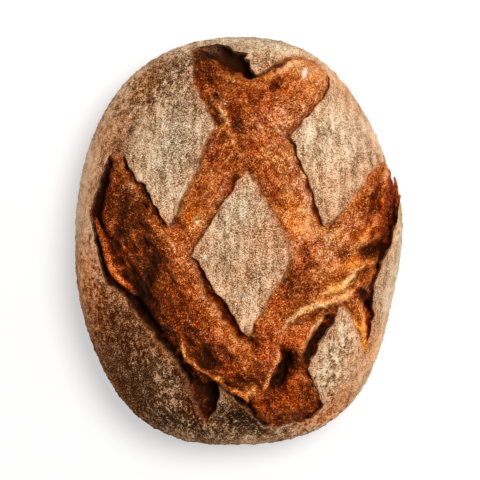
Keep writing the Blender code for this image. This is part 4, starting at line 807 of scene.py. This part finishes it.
# ------------------------------------------------------------------ UV map: the top in one piece, the base in another
loop_vertex = np.empty(len(mesh.loops), np.int32)
mesh.loops.foreach_get("vertex_index", loop_vertex)
face_of_loop = np.repeat(np.arange(len(mesh.polygons)), 3)
flat = np.hypot(px / HALF_WIDTH, py / HALF_LENGTH)
tilt = np.arctan2(flat * 62, pz - 30)                 # 0 at the crown, pi under the base
around = np.arctan2(py / HALF_LENGTH, px / HALF_WIDTH)
centre_tilt = tilt[loop_vertex].reshape(-1, 3).mean(1)
is_top = (centre_tilt < 2.05)[face_of_loop]
lt, la = tilt[loop_vertex], around[loop_vertex]
wide_side = HALF_WIDTH / HALF_LENGTH
reach = lt / 2.12 * 0.485
u = np.where(is_top, 0.388 + reach * np.cos(la) * wide_side, 0.885 + (np.pi - lt) / 1.15 * 0.135 * np.cos(la) * wide_side)
v = np.where(is_top, 0.5 + reach * np.sin(la), 0.5 + (np.pi - lt) / 1.15 * 0.135 * np.sin(la))
uv = mesh.uv_layers.new(name="OFBake")
uv.data.foreach_set("uv", np.stack([u, v], 1).astype(np.float32).ravel())


# ------------------------------------------------------------------ material
def crust_material():
    made = bpy.data.materials.new("floured_and_browned_crust")
    made.use_nodes = True
    tree = made.node_tree
    nodes, links = tree.nodes, tree.links
    nodes.clear()
    out = nodes.new("ShaderNodeOutputMaterial")
    bsdf = nodes.new("ShaderNodeBsdfPrincipled")
    links.new(bsdf.outputs[0], out.inputs[0])

    def put(socket, value):
        if isinstance(value, (int, float)):
            socket.default_value = value
        elif isinstance(value, tuple):
            socket.default_value = (*value, 1.0) if len(value) == 3 and socket.type == "RGBA" else value
        else:
            links.new(value, socket)

    def math_(kind, a, b=0.0, clamp=False):
        n = nodes.new("ShaderNodeMath")
        n.operation = kind
        n.use_clamp = clamp
        put(n.inputs[0], a)
        put(n.inputs[1], b)
        return n.outputs[0]

    add = lambda a, b: math_("ADD", a, b)
    sub = lambda a, b: math_("SUBTRACT", a, b)
    mul = lambda a, b: math_("MULTIPLY", a, b)

    def step(value, low, high):
        n = nodes.new("ShaderNodeMapRange")
        n.interpolation_type = "SMOOTHSTEP"
        put(n.inputs["Value"], value)
        n.inputs["From Min"].default_value = low
        n.inputs["From Max"].default_value = high
        return n.outputs[0]

    def blend(a, b, t):
        n = nodes.new("ShaderNodeMix")
        n.data_type = "RGBA"
        put(n.inputs[0], t)
        put(n.inputs[6], a)
        put(n.inputs[7], b)
        return n.outputs[2]

    def blend1(a, b, t):
        n = nodes.new("ShaderNodeMix")
        n.data_type = "FLOAT"
        put(n.inputs[0], t)
        put(n.inputs[2], a)
        put(n.inputs[3], b)
        return n.outputs[0]

    def ramp(value, *stops):
        n = nodes.new("ShaderNodeValToRGB")
        put(n.inputs[0], value)
        while len(n.color_ramp.elements) < len(stops):
            n.color_ramp.elements.new(0.5)
        for element, (place, tint) in zip(n.color_ramp.elements, stops):
            element.position = place
            element.color = (*tint, 1.0)
        return n.outputs["Color"]

    def spread(node_value, amount):
        return mul(sub(node_value, 0.5), amount)

    def total(first, *rest):
        for value in rest:
            first = add(first, value)
        return first

    def attr(name):
        n = nodes.new("ShaderNodeAttribute")
        n.attribute_name = name
        return n.outputs["Fac"]

    where = nodes.new("ShaderNodeTexCoord").outputs["Object"]
    scale = nodes.new("ShaderNodeVectorMath")
    scale.operation = "SCALE"
    links.new(where, scale.inputs[0])
    scale.inputs["Scale"].default_value = 1000.0
    mm = scale.outputs[0]

    def placed(stretch, shift):
        n = nodes.new("ShaderNodeMapping")
        links.new(mm, n.inputs["Vector"])
        n.inputs["Scale"].default_value = stretch
        n.inputs["Location"].default_value = (shift, shift * 0.7, -shift * 1.3)
        return n.outputs[0]

    def cloud(wave, detail=2.0, rough=0.5, stretch=(1, 1, 1), shift=0.0, warp=0.0):
        n = nodes.new("ShaderNodeTexNoise")
        links.new(placed(stretch, shift), n.inputs["Vector"])
        n.inputs["Scale"].default_value = 1.0 / wave
        n.inputs["Detail"].default_value = detail
        n.inputs["Roughness"].default_value = rough
        n.inputs["Distortion"].default_value = warp
        return n.outputs["Fac"]

    cut, deep, ridge, strand = attr("cut"), attr("deep"), attr("ridge"), attr("strand")
    flour, dark_bake_and_shade, pale, white, raised_ = attr("flour"), attr("dark_bake_and_shade"), attr("pale"), attr("white"), attr("raised")

    orange, grey, vein, dust = attr("orange"), attr("grey"), attr("vein"), attr("dust")
    gap, drawn, streaked = attr("gap"), attr("drawn"), attr("streak")
    red, gold, flaky = attr("red"), attr("gold"), attr("flaky")
    wander = total(spread(cloud(5.2, 2, 0.55, shift=81.0, warp=0.4), 0.95), spread(cloud(13, 2, 0.5, shift=91.0), 0.75))
    sides = nodes.new("ShaderNodeSeparateXYZ")
    links.new(mm, sides.inputs[0])
    height_mm = sides.outputs["Z"]

    # --- the floured skin: flour thick or thin over browned crust, streaked along the loaf
    fine = cloud(0.64, 1, 0.6, shift=1.7)
    small = cloud(1.6, 2, 0.6, shift=5.3)
    streak = cloud(2.2, 3, 0.6, stretch=(1.0, 0.22, 0.40), shift=11.0, warp=0.25)
    clumps = cloud(4.6, 2, 0.55, shift=27.0)
    drifts = cloud(5.2, 2, 0.5, stretch=(1.0, 0.16, 0.30), shift=16.0, warp=0.2)
    broad = cloud(13, 2, 0.5, shift=21.0)
    low_side = step(height_mm, 52.0, 18.0)
    flakes = cloud(2.7, 3, 0.62, stretch=(1.0, 0.7, 0.8), shift=61.0, warp=0.4)
    rubbed = step(cloud(1.2, 1, 0.5, shift=67.0), 0.60, 0.72)
    # thick follows the flour attribute, which also carries painted light and shade
    thick = total(0.612, mul(spread(fine, 2.0), sub(1.0, mul(flour, 0.9))), spread(small, 0.62), spread(streak, 0.62),
                  mul(total(spread(clumps, 0.46), spread(drifts, 0.72), spread(broad, 0.45)), add(1.0, mul(flour, 0.5))),
                  flour, mul(spread(flakes, 2.2), flaky))
    thick = sub(thick, mul(rubbed, 0.20))
    thick = sub(thick, mul(low_side, 0.10))
    skin_colour = ramp(thick,
                       (0.00, (0.045, 0.010, 0.0015)), (0.12, (0.078, 0.022, 0.006)), (0.25, (0.125, 0.046, 0.018)),
                       (0.38, (0.200, 0.080, 0.031)), (0.50, (0.330, 0.155, 0.070)), (0.58, (0.445, 0.233, 0.118)),
                       (0.66, (0.560, 0.320, 0.176)), (0.75, (0.660, 0.402, 0.238)), (0.86, (0.745, 0.488, 0.310)),
                       (1.00, (0.840, 0.610, 0.420)))
    bared = ramp(thick,
                 (0.00, (0.080, 0.015, 0.003)), (0.25, (0.210, 0.060, 0.018)), (0.50, (0.420, 0.165, 0.062)),
                 (0.75, (0.620, 0.310, 0.150)), (1.00, (0.800, 0.520, 0.320)))
    skin_colour = blend(skin_colour, bared, math_("MINIMUM", add(orange, mul(low_side, 0.6)), 1.0))
    # whiter flour where dust lies, and painted sheen along the rims
    dust_and_sheen_colour = ramp(thick,
                  (0.00, (0.055, 0.023, 0.009)), (0.25, (0.150, 0.080, 0.038)), (0.50, (0.335, 0.215, 0.120)),
                  (0.66, (0.540, 0.388, 0.240)), (0.80, (0.680, 0.520, 0.355)), (1.00, (0.860, 0.730, 0.560)))
    skin_colour = blend(skin_colour, dust_and_sheen_colour, math_("MINIMUM", dust, 1.0))
    # dark greenish-grey flour, partly scorched and partly painted shade
    scorched_and_shaded = ramp(thick,
                    (0.00, (0.012, 0.008, 0.004)), (0.25, (0.060, 0.040, 0.020)), (0.50, (0.170, 0.125, 0.070)),
                    (0.75, (0.380, 0.310, 0.200)), (1.00, (0.620, 0.540, 0.400)))
    skin_colour = blend(skin_colour, scorched_and_shaded, mul(math_("MINIMUM", grey, 1.0), 0.8))
    cover = step(thick, 0.35, 0.75)

    # --- the risen dough: from charred red-brown to gold
    d1 = cloud(0.62, 1, 0.6, shift=43.0)
    d2 = cloud(1.5, 2, 0.6, shift=37.0)
    d4 = cloud(3.2, 2, 0.55, shift=39.0, warp=0.5)
    d8 = cloud(7.5, 2, 0.5, shift=31.0, warp=0.6)
    # painted shade: flatter colour variation in deep hollows, where shade dulls it
    calm = sub(1.0, mul(step(deep, 2.0, 6.0), 0.68))
    bake = total(spread(d1, 2.2), spread(d2, 1.0), spread(d4, 0.70))
    # ridge: painted highlight on fold tops and painted shade in grooves; pale and streaked add the dough's golden tone
    # with painted highlights and shade
    bake = total(0.478, mul(bake, calm), spread(d8, 0.80), mul(drawn, 0.055),
                 mul(vein, 0.11), mul(pale, 0.30), mul(ridge, 0.012), streaked)
    # darker where the dough is more deeply baked and where shade is painted into hollows and gaps
    bake = sub(bake, add(mul(dark_bake_and_shade, 0.46), mul(gap, 0.28)))
    # painted shade: darker the deeper the dough lies below the dome
    bake = sub(bake, add(mul(step(deep, 2.0, 6.0), 0.08), mul(step(deep, 6.0, 12.0), 0.31)))
    dough_colour = ramp(bake,
                        (0.00, (0.034, 0.0105, 0.0042)), (0.06, (0.056, 0.012, 0.0034)), (0.15, (0.095, 0.013, 0.0015)), (0.28, (0.185, 0.024, 0.0020)),
                        (0.40, (0.300, 0.050, 0.0040)), (0.50, (0.405, 0.090, 0.0110)), (0.60, (0.520, 0.138, 0.0220)),
                        (0.70, (0.630, 0.196, 0.0400)), (0.82, (0.760, 0.305, 0.0850)), (0.92, (0.880, 0.445, 0.1800)),
                        (1.00, (0.940, 0.600, 0.3200)))
    # painted highlights: pale pinkish specks on the lit dough stand in for tiny glints of light
    painted_glints = mul(mul(step(d1, 0.63, 0.76), step(cloud(4.5, 2, 0.5, shift=71.0), 0.42, 0.60)), step(bake, 0.25, 0.55))
    dough_colour = blend(dough_colour, (0.90, 0.64, 0.46), mul(painted_glints, 0.55))

    # --- edge of the skin
    edge_noise = mul(sub(cloud(1.6, 2, 0.6, shift=51.0), 0.5), 0.7)
    is_dough = step(add(cut, edge_noise), 0.0, 0.5)
    red = add(red, mul(wander, add(1.0, mul(is_dough, 1.1))))
    gold = mul(gold, is_dough)
    # dough next to an edge keeps a little flour; skin next to it is bare and brown
    near = mul(step(add(cut, mul(edge_noise, 1.5)), 2.6, 0.2), 0.30)
    dough_colour = blend(dough_colour, (0.78, 0.46, 0.27), mul(mul(near, sub(1.0, raised_)), step(fine, 0.40, 0.58)))
    bare = mul(step(add(cut, mul(edge_noise, 2.0)), -2.0, -0.2), 0.40)
    skin_colour = blend(skin_colour, (0.42, 0.19, 0.085), mul(bare, step(small, 0.35, 0.6)))
    colour = blend(skin_colour, dough_colour, is_dough)
    colour = blend(colour, (0.90, 0.80, 0.64), mul(step(add(white, mul(sub(fine, 0.5), 1.6)), 0.35, 0.75), 0.85))

    # --- the base: darker, even, lightly dusted
    low = step(add(height_mm, mul(sub(small, 0.5), 5.0)), 5.0, 1.0)
    base_colour = blend((0.16, 0.070, 0.030), (0.36, 0.20, 0.11), step(add(mul(broad, 0.5), mul(small, 0.5)), 0.35, 0.65))
    base_colour = blend(base_colour, (0.58, 0.44, 0.30), mul(step(add(mul(fine, 0.5), mul(small, 0.5)), 0.54, 0.66), 0.5))
    colour = blend(colour, base_colour, low)
    parts = nodes.new("ShaderNodeSeparateColor")
    links.new(colour, parts.inputs[0])
    joined = nodes.new("ShaderNodeCombineColor")
    links.new(parts.outputs[0], joined.inputs[0])
    links.new(mul(parts.outputs[1], sub(0.98, add(mul(red, 0.28), mul(gold, 0.06)))), joined.inputs[1])
    links.new(mul(parts.outputs[2], math_("MAXIMUM", sub(0.955, add(mul(red, 0.45), mul(gold, 0.80))), 0.1)), joined.inputs[2])
    links.new(joined.outputs[0], bsdf.inputs["Base Color"])

    # --- gloss
    rough_skin = blend1(0.78, 0.95, cover)
    rough_dough = blend1(0.78, 0.58, step(d2, 0.35, 0.65))
    put(bsdf.inputs["Roughness"], blend1(rough_skin, rough_dough, is_dough))
    bsdf.inputs["Specular IOR Level"].default_value = 0.012
    bsdf.inputs["Specular Tint"].default_value = (1.0, 0.70, 0.45, 1.0)
    bsdf.inputs["Subsurface Weight"].default_value = 0.0

    # --- relief too fine for the mesh
    grainy = add(mul(fine, 0.45), mul(small, 0.45))
    rough_relief = add(mul(d1, 0.50), mul(d2, 0.85))
    height = blend1(grainy, rough_relief, is_dough)
    bump = nodes.new("ShaderNodeBump")
    bump.inputs["Strength"].default_value = 0.9
    bump.inputs["Distance"].default_value = 0.0013
    links.new(height, bump.inputs["Height"])
    links.new(bump.outputs[0], bsdf.inputs["Normal"])
    return made


mesh.materials.clear()
mesh.materials.append(crust_material())
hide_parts("loaf")
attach(loaf, "root")

# ------------------------------------------------------------------ floor, light, camera
floor_mesh = bpy.data.meshes.new("floor")
floor_mesh.from_pydata([(-3, -3, 0), (3, -3, 0), (3, 3, 0), (-3, 3, 0)], [], [(0, 1, 2, 3)])
floor = bpy.data.objects.new("floor", floor_mesh)
floor.location.z = -0.0004
bpy.context.scene.collection.objects.link(floor)
floor_material = bpy.data.materials.new("pale_floor")
floor_material.use_nodes = True
shader = floor_material.node_tree.nodes["Principled BSDF"]
shader.inputs["Base Color"].default_value = (0.437, 0.44, 0.452, 1)
shader.inputs["Roughness"].default_value = 0.9
shader.inputs["Specular IOR Level"].default_value = 0.1
shader.inputs["Emission Color"].default_value = (1, 1, 1, 1)
shader.inputs["Emission Strength"].default_value = 0.48
floor_mesh.materials.append(floor_material)

KEY_AZIMUTH, KEY_ELEVATION = 38.0, 71.0
key = bpy.data.lights.new("key", "AREA")
key.shape = "DISK"
key.size = 0.98
key.energy = 50.0
key.color = (1.0, 0.98, 0.95)
key_object = bpy.data.objects.new("key", key)
bpy.context.scene.collection.objects.link(key_object)
away = 2.2
a, e = math.radians(KEY_AZIMUTH), math.radians(KEY_ELEVATION)
spot = (away * math.cos(e) * math.cos(a), away * math.cos(e) * math.sin(a), away * math.sin(e))
key_object.location = spot
from mathutils import Vector

key_object.rotation_euler = Vector(spot).to_track_quat("Z", "Y").to_euler()

world = bpy.data.worlds.new("studio")
world.use_nodes = True
world.node_tree.nodes["Background"].inputs[0].default_value = (1.0, 0.995, 0.98, 1)
world.node_tree.nodes["Background"].inputs[1].default_value = 0.33
bpy.context.scene.world = world

camera = bpy.data.cameras.new("camera")
camera.lens = 150
camera.sensor_width = 36
camera.clip_end = 20
camera_object = bpy.data.objects.new("camera", camera)
camera_object.location = (0.00065, 0.00032, 1.324)
bpy.context.scene.collection.objects.link(camera_object)
bpy.context.scene.camera = camera_object
bpy.context.scene.view_settings.view_transform = "Standard"
